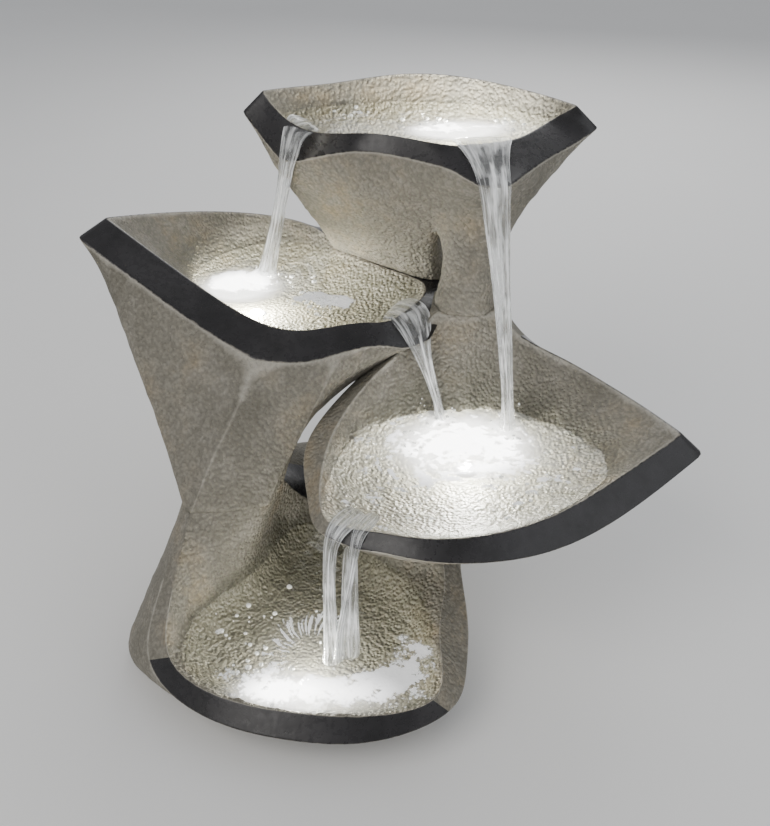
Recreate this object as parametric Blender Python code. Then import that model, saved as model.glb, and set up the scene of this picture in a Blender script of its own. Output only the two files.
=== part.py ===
"""Tabletop water fountain: four stacked cast-stone basins, pump, riser, lights, feet and rear cover."""

import math

import bmesh
import bpy
from mathutils import Vector

for old in list(bpy.data.objects):
    bpy.data.objects.remove(old, do_unlink=True)

MM = 0.001
GAP = 0.3

# Driving dimensions, in millimetres.
ORIGIN_X = -0.5
ORIGIN_Y = 74.85
FOOT_TOP = 3.0
FOOT_RADIUS = 11.0
LEG_SEAM = 121.0
STEM_SEAM = 110.0
SHELF_SEAM = 241.0
NECK_SEAM = 240.0

BASIN_FLOOR = 24.0
RIGHT_FLOOR = 141.0
LEFT_FLOOR = 214.0
TOP_FLOOR = 350.0

TUBE_RADIUS = 6.0
TUBE_BORE = 4.2

STONE_LEVEL = 2
STONE_KEEP = 0.45

# Pump chamber in the rear of the base, with its channel from the pool and its rear opening.
CHAMBER_X = (-62.0, -10.0)
CHAMBER_Y = (108.0, 190.0)
CHAMBER_Z = (12.0, 52.0)
COVER_Y = 186.0
COVER_THICK = 4.0
COVER_LEDGE = 5.0
CHANNEL_X = (-50.0, -22.0)
CHANNEL_Z = (27.0, 41.0)

GLAND = (-54.0, 18.0)
JOINT_SWELL = 0.8

# The pump stands on its suction cups; its shaft runs front to back.
PUMP_X = -36.0
PUMP_Z = 29.0
PUMP_WIDE = 34.0
PUMP_HIGH = 26.0
PUMP_FRONT = 132.0
PUMP_BACK = 172.0
VOLUTE_RADIUS = 11.5
VOLUTE_BACK = 143.0
ROTOR_BORE = 6.4
ROTOR_BACK = 160.0
SHAFT_RADIUS = 1.5
RUNNING_GAP = 0.1
# The dial's gate stops just outside the impeller's vanes, this far from the shaft.
DIAL_END = 10.2

LED_RADIUS = 9.0
LED_SINK = 4.0
LEDS = {
    "basin": (-60.0, -82.0, BASIN_FLOOR),
    "right": (64.0, 36.0, RIGHT_FLOOR),
    "left": (-110.0, 160.0, LEFT_FLOOR),
    "top": (60.0, 180.0, TOP_FLOOR),
}
FEET = {
    "front_left": (-118.0, -56.0),
    "front_right": (26.0, -60.0),
    "rear_right": (24.0, 160.0),
    "rear_left": (-138.0, 160.0),
}
# The riser's route, from the pump's outlet to the top pool.
RISER = (
    (-36, 138, 46), (-36, 138, 54), (-35, 137, 64), (-31, 130, 77), (-20, 114, 90), (-2, 94, 101),
    (12, 82, 113), (25, 90, 129), (38, 106, 148), (52, 122, 172), (63, 134, 204), (68, 140, 238),
    (70, 142, 272), (66, 151, 298), (54, 167, 320), (41, 181, 332), (34, 188, 339), (32, 190, 344),
)


def material(name, colour, roughness, metallic=0.0, alpha=1.0):
    made = bpy.data.materials.get(name)
    if made is None:
        made = bpy.data.materials.new(name)
        made.use_nodes = True
        shader = made.node_tree.nodes["Principled BSDF"]
        shader.inputs["Base Color"].default_value = (*colour, 1.0)
        shader.inputs["Roughness"].default_value = roughness
        shader.inputs["Metallic"].default_value = metallic
        shader.inputs["Alpha"].default_value = alpha
        made.diffuse_color = (*colour, alpha)
    return made


def mesh_object(name, bm, look):
    bmesh.ops.recalc_face_normals(bm, faces=bm.faces)
    mesh = bpy.data.meshes.new(name)
    bm.to_mesh(mesh)
    bm.free()
    made = bpy.data.objects.new(name, mesh)
    bpy.context.scene.collection.objects.link(made)
    mesh.materials.append(look)
    return made


def cage():
    """An empty control cage that can hold sharp edges and sharp corners."""
    bm = bmesh.new()
    bm.edges.layers.float.new("crease_edge")
    bm.verts.layers.float.new("crease_vert")
    return bm


def point(xyz):
    return Vector(xyz) * MM


def skin(bm, floor, ribs):
    """Quads between neighbouring ribs, which run from the pool floor out over the rim and down."""
    grid = []
    for start, *rest in ribs:
        grid.append([bm.verts.new(point(p)) for p in ((*start, floor), *rest)])
    for i, left in enumerate(grid):
        right = grid[(i + 1) % len(grid)]
        for j in range(len(left) - 1):
            bm.faces.new((left[j], right[j], right[j + 1], left[j + 1]))
    return grid


def crease_ring(bm, ring, amount=1.0):
    layer = bm.edges.layers.float["crease_edge"]
    for i, vert in enumerate(ring):
        edge = bm.edges.get((vert, ring[(i + 1) % len(ring)]))
        if edge is not None:
            edge[layer] = amount


def crease_line(bm, line, amount):
    layer = bm.edges.layers.float["crease_edge"]
    for a, b in zip(line, line[1:]):
        edge = bm.edges.get((a, b))
        if edge is not None:
            edge[layer] = amount


def pin_corner(bm, verts):
    layer = bm.verts.layers.float["crease_vert"]
    for vert in verts:
        vert[layer] = 1.0


def smooth_stone(made):
    surface = made.modifiers.new("surface", "SUBSURF")
    surface.levels = STONE_LEVEL
    surface.render_levels = STONE_LEVEL
    thinned = made.modifiers.new("thinned", "DECIMATE")
    thinned.ratio = STONE_KEEP
    return made


def subtract(made, cutter, label):
    cut = made.modifiers.new(label, "BOOLEAN")
    cut.operation = "DIFFERENCE"
    cut.solver = "EXACT"
    cut.object = cutter
    cutter.hide_render = True
    cutter.display_type = "WIRE"
    return cut


STONE = material("cast_stone", (0.30, 0.27, 0.22), 0.75)


# ---------------------------------------------------------------- castings
# Each rib: pool floor, pool edge, inner rim, outer rim, shoulder, waist.
TOP_RIBS = [
    ((100, 186), (128, 186, 368), (150, 181, 389), (169, 180, 371), (137, 168, 341), (104, 158, 310)),
    ((90, 196), (112, 204, 366), (127, 208, 390), (143, 224, 374), (132, 196, 342), (102, 180, 310)),
    ((76, 203), (94, 217, 366), (103, 229, 391), (112, 247, 375), (112, 218, 343), (98, 200, 310)),
    ((52, 210), (62, 231, 366), (67, 245, 395), (72, 262, 378), (78, 236, 345), (80, 212, 308)),
    ((22, 213), (22, 237, 366), (26, 250, 397), (26, 267, 380), (34, 242, 346), (52, 222, 306)),
    ((-6, 211), (-12, 233, 366), (-10, 244, 395), (-14, 261, 378), (-8, 240, 345), (20, 232, 304)),
    ((-26, 205), (-42, 223, 366), (-46, 235, 391), (-52, 252, 375), (-42, 234, 343), (-15, 240, 302)),
    ((-42, 199), (-64, 212, 366), (-80, 226, 391), (-92, 243, 375), (-80, 228, 342), (-56, 238, 300)),
    ((-48, 194), (-76, 203, 366), (-99, 212, 392), (-117, 212, 375), (-104, 204, 344), (-80, 220, 300)),
    ((-44, 187), (-70, 190, 364), (-83, 197, 374), (-86, 190, 342), (-84, 192, 328), (-70, 202, 302)),
    ((-30, 178), (-46, 164, 364), (-55, 150, 376), (-70, 177, 345), (-62, 176, 332), (-45, 186, 304)),
    ((-12, 176), (-26, 163, 364), (-32, 152, 376), (-34, 149, 363), (-34, 152, 338), (-18, 166, 306)),
    ((10, 176), (2, 163, 364), (-2, 154, 376), (-2, 146, 364), (0, 138, 340), (14, 150, 308)),
    ((38, 166), (38, 140, 364), (40, 124, 376), (48, 108, 363), (34, 126, 340), (41, 143, 310)),
    ((56, 166), (60, 140, 364), (62, 128, 374), (68, 90, 356), (64, 112, 338), (62, 132, 306)),
    ((74, 168), (84, 146, 364), (86, 134, 374), (91, 90, 356), (92, 110, 338), (84, 122, 308)),
    ((86, 173), (100, 156, 364), (106, 144, 376), (118, 128, 362), (110, 124, 340), (94, 126, 308)),
    ((96, 180), (118, 176, 366), (131, 184, 377), (147, 160, 364), (128, 146, 341), (101, 140, 308)),
]
TOP_CROTCH = ((45, 168, 288), (49, 196, 288))
TOP_LEFT_STEM = [
    ((50, 212, 276), (24, 232, 274), (-8, 248, 272), (-40, 250, 270), (-64, 238, 270), (-58, 226, 270),
     (-36, 212, 270), (-12, 192, 271), (16, 172, 273), (41, 158, 276), (46, 175, 276), (50, 194, 276)),
    ((56, 204), (34, 228), (6, 252), (-22, 264), (-46, 256), (-50, 242),
     (-30, 229), (-8, 210), (14, 192), (36, 175), (49, 176), (57, 188)),
]
TOP_NECK = [
    ((50, 124, 276), (58, 114, 274), (72, 111, 272), (83, 115, 272), (88, 126, 272), (90, 141, 272),
     (88, 155, 272), (82, 166, 272), (74, 170, 273), (60, 166, 275), (52, 154, 277), (48, 139, 277)),
    ((42, 122), (52, 113), (68, 110), (82, 114), (89, 126), (92, 142),
     (90, 157), (82, 168), (70, 171), (54, 167), (44, 155), (39, 138)),
]


def grow(bm, start, rings):
    """Carries a closed ring of verts on through further rings and caps the last one."""
    last = start
    for ring in rings:
        fresh = [bm.verts.new(point(p)) for p in ring]
        for i in range(len(last)):
            k = (i + 1) % len(last)
            bm.faces.new((last[i], last[k], fresh[k], fresh[i]))
        last = fresh
    bm.faces.new(last)
    return last


def top_bowl():
    bm = cage()
    grid = skin(bm, TOP_FLOOR, TOP_RIBS)
    bm.faces.new([rib[0] for rib in grid])
    crotch = [bm.verts.new(point(p)) for p in TOP_CROTCH]
    waist = [rib[5] for rib in grid]
    left = waist[4:14] + [crotch[0], crotch[1]]
    right = waist[13:18] + waist[0:5] + [crotch[1], crotch[0]]
    low_left = [(x, y, SHELF_SEAM + GAP) for x, y in TOP_LEFT_STEM[1]]
    low_right = [(x, y, NECK_SEAM + GAP) for x, y in TOP_NECK[1]]
    foot = grow(bm, left, [TOP_LEFT_STEM[0], low_left])
    neck = grow(bm, right, [TOP_NECK[0], low_right])
    crease_ring(bm, [rib[2] for rib in grid])
    crease_ring(bm, [rib[3] for rib in grid])
    crease_ring(bm, foot)
    crease_ring(bm, neck)
    crease_line(bm, [grid[13][3], grid[13][4], grid[13][5]], 0.6)
    pin_corner(bm, [grid[0][2], grid[0][3], grid[8][2], grid[8][3], grid[9][3], grid[10][3]])
    pin_corner(bm, [grid[14][3], grid[15][3]])
    return smooth_stone(mesh_object("top_bowl", bm, STONE))


LEFT_RIBS = [
    ((-10, 148), (22, 140, 234), (33, 143, 241),
     (37, 96, 227), (12, 112, 203), (-66, 82, 165), (-84, 60)),
    ((-10, 164), (24, 168, 234), (37, 172, 241),
     (62, 172, 241), (28, 150, 208), (-68, 104, 168), (-92, 72)),
    ((-20, 176), (6, 182, 234), (14, 190, 241),
     (66, 200, 241), (30, 182, 206), (-62, 122, 166), (-102, 80)),
    ((-36, 190), (-18, 202, 234), (-12, 210, 241),
     (38, 242, 241), (8, 212, 208), (-74, 136, 168), (-112, 85)),
    ((-52, 206), (-42, 228, 234), (-38, 236, 243),
     (-6, 272, 241), (-28, 232, 210), (-90, 146, 170), (-122, 88)),
    ((-68, 216), (-62, 246, 233), (-62, 262, 255),
     (-50, 284, 243), (-62, 246, 214), (-104, 150, 172), (-131, 86)),
    ((-88, 220), (-90, 258, 233), (-92, 277, 258),
     (-94, 296, 245), (-96, 246, 218), (-118, 150, 174), (-139, 82)),
    ((-106, 216), (-118, 254, 233), (-126, 274, 264),
     (-133, 292, 250), (-126, 236, 222), (-132, 142, 175), (-146, 75)),
    ((-120, 204), (-142, 238, 234), (-161, 258, 272),
     (-172, 274, 257), (-156, 216, 226), (-146, 128, 176), (-152, 65)),
    ((-130, 192), (-158, 218, 236), (-191, 232, 281),
     (-206, 244, 266), (-184, 186, 230), (-158, 108, 176), (-157, 52)),
    ((-134, 180), (-168, 200, 240), (-212, 199, 292),
     (-231, 202, 277), (-212, 152, 234), (-178, 88, 175), (-161, 36)),
    ((-134, 168), (-172, 180, 244), (-226, 160, 305),
     (-246, 140, 296), (-222, 112, 240), (-186, 64, 174), (-160, 20)),
    ((-122, 148), (-152, 150, 242), (-178, 137, 278),
     (-190, 105, 271), (-188, 84, 224), (-170, 46, 168), (-158, 14)),
    ((-104, 130), (-122, 120, 238), (-130, 111, 253),
     (-141, 82, 243), (-146, 62, 207), (-149, 36, 164), (-156, 11)),
    ((-84, 118), (-90, 98, 234), (-92, 88, 242),
     (-100, 66, 226), (-112, 48, 196), (-134, 28, 162), (-152, 9)),
    ((-66, 114), (-64, 94, 233), (-62, 84, 241),
     (-64, 63, 223), (-76, 48, 194), (-98, 28, 160), (-122, 9)),
    ((-48, 118), (-38, 104, 233), (-34, 97, 241),
     (-34, 77, 226), (-50, 60, 198), (-74, 36, 158), (-93, 18)),
    ((-32, 124), (-14, 110, 233), (-10, 102, 241),
     (-8, 86, 229), (-34, 76, 208), (-72, 50, 162), (-84, 33)),
    ((-20, 130), (4, 112, 234), (3, 97, 241),
     (19, 92, 221), (-14, 92, 213), (-72, 66, 164), (-82, 47)),
]


def left_bowl():
    bm = cage()
    ribs = [rib[:6] + ((rib[6][0], rib[6][1], LEG_SEAM + GAP),) for rib in LEFT_RIBS]
    grid = skin(bm, LEFT_FLOOR, ribs)
    bm.faces.new([rib[0] for rib in grid])
    bm.faces.new([rib[6] for rib in grid])
    crease_ring(bm, [rib[2] for rib in grid])
    crease_ring(bm, [rib[3] for rib in grid])
    crease_ring(bm, [rib[6] for rib in grid])
    crease_line(bm, grid[14][3:], 0.8)
    crease_line(bm, grid[16][3:], 0.4)
    pin_corner(bm, [grid[11][2], grid[11][3], grid[0][3], grid[18][3]])
    return smooth_stone(mesh_object("left_bowl", bm, STONE))


RIGHT_RIBS = [
    ((112, 16), (160, 8, 160), (227, 27, 184), (245, 22, 168), (180, 25, 142), (58, 62)),
    ((108, 32), (152, 38, 160), (205, 62, 186), (222, 78, 168), (170, 66, 141), (56, 72)),
    ((100, 46), (134, 62, 160), (176, 90, 193), (190, 107, 175), (146, 92, 143), (52, 82)),
    ((88, 56), (114, 80, 160), (146, 109, 204), (158, 127, 186), (122, 114, 148), (46, 90)),
    ((74, 62), (90, 92, 162), (108, 122, 216), (116, 144, 202), (104, 136, 164), (38, 97)),
    ((62, 64), (72, 96, 164), (92, 122, 240), (92, 160, 240), (92, 158, 192), (28, 102)),
    ((50, 64), (50, 94, 164), (68, 110, 240), (68, 171, 240), (68, 166, 188), (18, 103)),
    ((38, 62), (28, 90, 163), (42, 120, 240), (42, 160, 240), (34, 150, 180), (8, 101)),
    ((28, 58), (8, 82, 161), (13, 100, 214), (6, 122, 206), (6, 124, 164), (-1, 96)),
    ((18, 50), (-10, 68, 160), (-14, 82, 198), (-26, 98, 188), (-22, 98, 152), (-8, 89)),
    ((8, 40), (-22, 52, 159), (-34, 56, 182), (-54, 64, 172), (-42, 66, 140), (-12, 80)),
    ((2, 28), (-30, 30, 158), (-45, 22, 176), (-66, 24, 168), (-48, 28, 134), (-14, 70)),
    ((0, 12), (-32, 4, 157), (-49, -15, 168), (-58, -14, 156), (-46, -6, 130), (-14, 60)),
    ((2, -4), (-30, -20, 156), (-47, -42, 165), (-54, -44, 152), (-40, -30, 128), (-12, 51)),
    ((8, -18), (-24, -38, 155), (-40, -56, 162), (-42, -64, 158), (-32, -46, 132), (-8, 43)),
    ((16, -26), (-8, -46, 155), (-18, -62, 162), (-18, -72, 153), (-14, -54, 130), (-1, 37)),
    ((24, -32), (6, -52, 156), (-7, -67, 166), (-1, -79, 157), (4, -58, 127), (8, 33)),
    ((40, -38), (34, -62, 157), (28, -78, 166), (30, -90, 156), (34, -62, 126), (20, 31)),
    ((62, -38), (70, -58, 157), (72, -73, 166), (78, -87, 153), (74, -54, 127), (34, 33)),
    ((86, -28), (108, -42, 157), (117, -54, 166), (125, -70, 150), (112, -38, 130), (46, 41)),
    ((104, -8), (144, -16, 158), (162, -18, 167), (178, -32, 151), (150, -10, 135), (54, 51)),
]


def right_bowl():
    bm = cage()
    ribs = [rib[:5] + ((rib[5][0], rib[5][1], STEM_SEAM + GAP),) for rib in RIGHT_RIBS]
    grid = skin(bm, RIGHT_FLOOR, ribs)
    bm.faces.new([rib[0] for rib in grid])
    bm.faces.new([rib[5] for rib in grid])
    crease_ring(bm, [rib[2] for rib in grid])
    crease_ring(bm, [rib[3] for rib in grid])
    crease_ring(bm, [rib[5] for rib in grid])
    pin_corner(bm, [grid[0][2], grid[0][3], grid[14][3], grid[15][3]])
    for k in (5, 7):
        crease_line(bm, [grid[k][2], grid[k][3]], 1.0)
        pin_corner(bm, [grid[k][2], grid[k][3]])
    return smooth_stone(mesh_object("right_bowl", bm, STONE))


BASIN_RIBS = [
    ((20, -92), (36, -112, 46), (42, -120, 50),
     (43, -121, 51), (56, -118, 38), (50, -100, 20), (48, -84)),
    ((20, -70), (35, -78, 46), (41, -80, 50),
     (42, -80, 52), (62, -76, 40), (60, -70, 20), (54, -62)),
    ((18, -44), (31, -44, 47), (38, -46, 51),
     (41, -46, 53), (66, -42, 44), (66, -38, 22), (60, -34)),
    ((12, -20), (26, -16, 47), (40, -18, 54),
     (46, -18, 56), (65, -14, 50), (66, -10, 24), (62, -6)),
    ((4, -2), (16, 4, 48), (42, 4, 58),
     (51, 5, 60), (62, 12, 56), (66, 18, 26), (63, 20)),
    ((-6, 12), (4, 20, 48), (27, 20, 60),
     (34, 37, 110), (56, 54, 110), (64, 52, 60), (62, 52)),
    ((-16, 26), (-8, 34, 48), (5, 31, 62),
     (12, 32, 110), (58, 72, 110), (66, 86, 60), (66, 88)),
    ((-26, 38), (-20, 50, 48), (-12, 46, 64),
     (-10, 47, 110), (46, 92, 110), (62, 120, 60), (66, 126)),
    ((-38, 52), (-36, 70, 48), (-26, 74, 66),
     (-14, 72, 110), (18, 104, 110), (48, 154, 60), (56, 166)),
    ((-52, 64), (-54, 84, 49), (-52, 91, 55),
     (-46, 98, 62), (-8, 132, 66), (20, 190, 72), (30, 198)),
    ((-68, 66), (-74, 84, 49), (-74, 91, 55),
     (-72, 99, 62), (-60, 142, 66), (-32, 212, 72), (-22, 218)),
    ((-80, 56), (-92, 66, 50), (-96, 70, 72),
     (-87, 60, 121), (-104, 81, 121), (-92, 204, 66), (-88, 218)),
    ((-88, 38), (-100, 42, 50), (-100, 42, 76),
     (-83, 44, 121), (-124, 88, 121), (-140, 168, 60), (-148, 200)),
    ((-98, 16), (-112, 16, 49), (-107, 16, 74),
     (-93, 18, 121), (-141, 81, 121), (-166, 124, 60), (-180, 152)),
    ((-116, -6), (-136, -6, 48), (-134, -8, 68),
     (-121, 9, 121), (-154, 62, 121), (-174, 78, 60), (-190, 92)),
    ((-128, -32), (-150, -34, 47), (-155, -34, 62),
     (-152, 9, 121), (-161, 34, 121), (-186, 34, 62), (-202, 40)),
    ((-130, -54), (-152, -58, 46), (-160, -60, 57),
     (-163, -40, 82), (-169, -30, 84), (-198, -12, 46), (-208, -2)),
    ((-124, -72), (-146, -84, 46), (-157, -88, 51),
     (-168, -84, 54), (-190, -74, 42), (-216, -56, 24), (-214, -38)),
    ((-100, -90), (-112, -106, 46), (-117, -114, 50),
     (-120, -117, 51), (-130, -128, 38), (-126, -108, 20), (-120, -84)),
    ((-58, -100), (-60, -118, 46), (-62, -127, 50),
     (-62, -129, 51), (-62, -143, 37), (-62, -122, 20), (-62, -96)),
    ((-14, -102), (-10, -122, 46), (-10, -131, 50),
     (-10, -133, 51), (-8, -147, 37), (-8, -124, 20), (-8, -98)),
]


def basin():
    bm = cage()
    ribs = [rib[:6] + ((rib[6][0], rib[6][1], FOOT_TOP),) for rib in BASIN_RIBS]
    grid = skin(bm, BASIN_FLOOR, ribs)
    bm.faces.new([rib[0] for rib in grid])
    bm.faces.new([rib[6] for rib in grid])
    crease_ring(bm, [rib[3] for rib in grid])
    crease_ring(bm, [rib[4] for rib in grid])
    crease_ring(bm, [rib[6] for rib in grid])
    crease_ring(bm, [rib[2] for rib in grid], 0.5)
    for k in (5, 8, 11, 15):
        crease_line(bm, [grid[k][3], grid[k][4]], 1.0)
        pin_corner(bm, [grid[k][3], grid[k][4]])
    return smooth_stone(mesh_object("basin", bm, STONE))


# ---------------------------------------------------------------- small solids
def solid(name, bm, look, parent=None, at=(0, 0, 0)):
    made = mesh_object(name, bm, look)
    made.location = point(at)
    if parent is not None:
        made.parent = parent
    return made


def block(name, low, high, look, bevel=0.0):
    """A box between two corners, with its long edges eased when bevel is given."""
    bm = bmesh.new()
    bmesh.ops.create_cube(bm, size=1.0)
    size = [(b - a) * MM for a, b in zip(low, high)]
    bmesh.ops.scale(bm, vec=size, verts=bm.verts)
    if bevel:
        bmesh.ops.bevel(bm, geom=bm.edges[:], offset=bevel * MM, segments=2, affect="EDGES", profile=0.5)
    middle = [(a + b) / 2 for a, b in zip(low, high)]
    return solid(name, bm, look, at=middle)


def turned(name, profile, look, at, axis="Z", sides=20):
    """A closed profile of (radius, height) points, spun round an axis through at."""
    bm = bmesh.new()
    rows = []
    for radius, height in profile:
        if radius < 1e-6:
            rows.append([bm.verts.new((0, 0, height * MM))])
            continue
        row = []
        for i in range(sides):
            turn = 2 * math.pi * (i + 0.5) / sides
            across = (radius * math.cos(turn), radius * math.sin(turn), height)
            row.append(bm.verts.new(point(across)))
        rows.append(row)
    closed = profile[0][0] > 1e-6
    pairs = list(zip(rows, rows[1:] + rows[:1])) if closed else list(zip(rows, rows[1:]))
    for a, b in pairs:
        for i in range(sides):
            k = (i + 1) % sides
            if len(a) == 1:
                bm.faces.new((a[0], b[i], b[k]))
            elif len(b) == 1:
                bm.faces.new((a[k], a[i], b[0]))
            else:
                bm.faces.new((a[i], a[k], b[k], b[i]))
    made = solid(name, bm, look, at=at)
    if axis == "Y":
        made.rotation_euler = (math.radians(-90), 0, 0)
    elif axis == "X":
        made.rotation_euler = (0, math.radians(90), 0)
    return made


def cylinder_cutter(name, radius, low, high, at, axis="Z", sides=20):
    return turned(name, ((0, low), (radius, low), (radius, high), (0, high)), CUTTER, at, axis, sides)


def smooth_route(points, per_span):
    """Points read from a Catmull-Rom curve through the route's own points."""
    p = [Vector(q) for q in points]
    p = [p[0] * 2 - p[1]] + p + [p[-1] * 2 - p[-2]]
    route = []
    for i in range(1, len(p) - 2):
        for j in range(per_span):
            t = j / per_span
            a = p[i - 1]
            b = p[i]
            c = p[i + 1]
            d = p[i + 2]
            route.append(0.5 * (2 * b + (c - a) * t + (2 * a - 5 * b + 4 * c - d) * t * t
                                + (3 * b - a - 3 * c + d) * t ** 3))
    route.append(p[-2])
    return route


def swept(name, route, radii, look, sides):
    """A round tube along a route. One radius makes a rod, two make a hollow tube."""
    bm = bmesh.new()
    loops = {radius: [] for radius in radii}
    side = Vector((1, 0, 0))
    for i, at in enumerate(route):
        ahead = (route[min(i + 1, len(route) - 1)] - route[max(i - 1, 0)]).normalized()
        side = (side - ahead * side.dot(ahead)).normalized()
        other = ahead.cross(side)
        for radius in radii:
            ring = []
            for k in range(sides):
                turn = 2 * math.pi * k / sides
                out = side * math.cos(turn) + other * math.sin(turn)
                ring.append(bm.verts.new((at + radius * out) * MM))
            loops[radius].append(ring)
    for rings in loops.values():
        for a, b in zip(rings, rings[1:]):
            for k in range(sides):
                n = (k + 1) % sides
                bm.faces.new((a[k], a[n], b[n], b[k]))
    for end in (0, -1):
        outer = loops[radii[0]][end]
        if len(radii) == 1:
            bm.faces.new(outer)
            continue
        inner = loops[radii[1]][end]
        for k in range(sides):
            n = (k + 1) % sides
            bm.faces.new((outer[k], outer[n], inner[n], inner[k]))
    return solid(name, bm, look)


CUTTER = material("cutter", (0.8, 0.2, 0.2), 0.5)
BLACK_PLASTIC = material("pump_plastic", (0.02, 0.02, 0.022), 0.45)
GREY_PLASTIC = material("impeller_plastic", (0.62, 0.62, 0.60), 0.4)
STEEL = material("shaft_ceramic", (0.85, 0.84, 0.80), 0.3)
RUBBER = material("black_rubber", (0.03, 0.03, 0.03), 0.85)
FOAM = material("filter_foam", (0.04, 0.05, 0.05), 0.95)
TUBE = material("riser_vinyl", (0.70, 0.73, 0.74), 0.25)
LED_BODY = material("led_body", (0.05, 0.05, 0.055), 0.35)
LENS = material("led_lens", (0.92, 0.95, 1.0), 0.1)
COVER = material("cover_plastic", (0.05, 0.048, 0.044), 0.55)


def inflated(made, label):
    """A copy of a casting, a gap's width larger, that cuts a matching joint into its neighbour."""
    copy = made.copy()
    copy.data = made.data.copy()
    copy.name = label
    bpy.context.scene.collection.objects.link(copy)
    swell = copy.modifiers.new("swell", "DISPLACE")
    swell.strength = JOINT_SWELL * MM
    swell.mid_level = 0.0
    return copy


def feet(base):
    for place, (x, y) in FEET.items():
        turned("foot_" + place, ((0, 0), (FOOT_RADIUS - 1, 0), (FOOT_RADIUS, 1), (FOOT_RADIUS, 5), (0, 5)),
               RUBBER, (x, y, 0))
        recess = cylinder_cutter("cut_foot_" + place, FOOT_RADIUS + 0.5, -4, 5 + GAP, (x, y, 0))
        subtract(base, recess, "foot_" + place)


def pool_light(place, host):
    """A sunk puck and its clear dome, in a pocket in the pool's floor."""
    at = LEDS[place]
    pocket = cylinder_cutter("cut_led_" + place, LED_RADIUS + 0.4, -LED_SINK, 14, at)
    subtract(host, pocket, "light")
    low = GAP - LED_SINK
    turned("led_body_" + place, ((0, low), (LED_RADIUS, low), (LED_RADIUS, 3), (LED_RADIUS - 1, 4),
                                 (LED_RADIUS - 2, 4), (LED_RADIUS - 2, 2), (0, 2)), LED_BODY, at)
    turned("led_lens_" + place, ((0, 2 + GAP), (LED_RADIUS - 2.4, 2 + GAP), (LED_RADIUS - 2.4, 4),
                                 (LED_RADIUS - 4.5, 6), (0, 7)), LENS, at)


def chamber(base):
    """The pump's room, the channel from the pool and the ledge that the rear cover seats on."""
    room = block("cut_chamber", (CHAMBER_X[0], CHAMBER_Y[0], CHAMBER_Z[0]),
                 (CHAMBER_X[1], CHAMBER_Y[1], CHAMBER_Z[1]), CUTTER)
    seat = block("cut_seat", (CHAMBER_X[0] - COVER_LEDGE, COVER_Y - GAP, CHAMBER_Z[0] - COVER_LEDGE + 1),
                 (CHAMBER_X[1] + COVER_LEDGE, COVER_Y + 60, CHAMBER_Z[1] + COVER_LEDGE), CUTTER)
    channel = block("cut_channel", (CHANNEL_X[0], 58, CHANNEL_Z[0]), (CHANNEL_X[1], 112, CHANNEL_Z[1]),
                    CUTTER)
    subtract(base, room, "chamber")
    subtract(base, seat, "seat")
    subtract(base, channel, "channel")


def rear_cover():
    low = (CHAMBER_X[0] - COVER_LEDGE + 0.5, COVER_Y, CHAMBER_Z[0] - COVER_LEDGE + 1.5)
    high = (CHAMBER_X[1] + COVER_LEDGE - 0.5, COVER_Y + COVER_THICK, CHAMBER_Z[1] + COVER_LEDGE - 0.5)
    plate = block("rear_cover", low, high, COVER, bevel=0.8)
    middle = COVER_Y + COVER_THICK / 2
    hole = cylinder_cutter("cut_gland", 5.3, -8, 8, (GLAND[0], middle, GLAND[1]), axis="Y")
    subtract(plate, hole, "gland")
    turned("cord_gland", ((2.4, -4), (5.0, -4), (5.0, 2.3), (7.5, 2.3), (7.5, 4.3), (2.4, 4.3)),
           RUBBER, (GLAND[0], middle, GLAND[1]), axis="Y")
    turned("cover_pull", ((0, 2.3), (4.5, 2.3), (3.6, 6), (5.5, 9), (5.5, 11), (0, 12)),
           COVER, (PUMP_X, middle, 40), axis="Y")


def intake_grille():
    """A slotted plate across the channel that keeps leaves and grit out of the chamber."""
    low = (CHANNEL_X[0] + GAP, 88, CHANNEL_Z[0] + GAP)
    high = (CHANNEL_X[1] - GAP, 91, CHANNEL_Z[1] - GAP)
    plate = block("intake_grille", low, high, BLACK_PLASTIC)
    for i in range(6):
        x = low[0] + 2.7 + i * 4.4
        slot = block(f"cut_slot_{i}", (x, 80, low[2] + 2), (x + 2.2, 98, high[2] - 2), CUTTER)
        subtract(plate, slot, f"slot_{i}")


def pump_housing():
    half = PUMP_WIDE / 2
    low = PUMP_Z - PUMP_HIGH / 2
    shell = block("pump_housing", (PUMP_X - half, PUMP_FRONT, low),
                  (PUMP_X + half, PUMP_BACK, low + PUMP_HIGH), BLACK_PLASTIC, bevel=2.0)
    at = (PUMP_X, 0, PUMP_Z)
    volute = cylinder_cutter("cut_volute", VOLUTE_RADIUS, PUMP_FRONT - 5, VOLUTE_BACK, at, axis="Y", sides=24)
    rotor = cylinder_cutter("cut_rotor", ROTOR_BORE, VOLUTE_BACK - 2, ROTOR_BACK, at, axis="Y")
    seat = cylinder_cutter("cut_bush", 3.0 + GAP, ROTOR_BACK - 2, ROTOR_BACK + 4, at, axis="Y")
    outlet = cylinder_cutter("cut_outlet", 2.8, 0, 30, (PUMP_X, 138, PUMP_Z))
    dial = cylinder_cutter("cut_dial", 2.2, half - 9, half + 4, (PUMP_X, 138, PUMP_Z), axis="X", sides=16)
    for cutter in (volute, rotor, seat, outlet, dial):
        subtract(shell, cutter, cutter.name)


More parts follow.
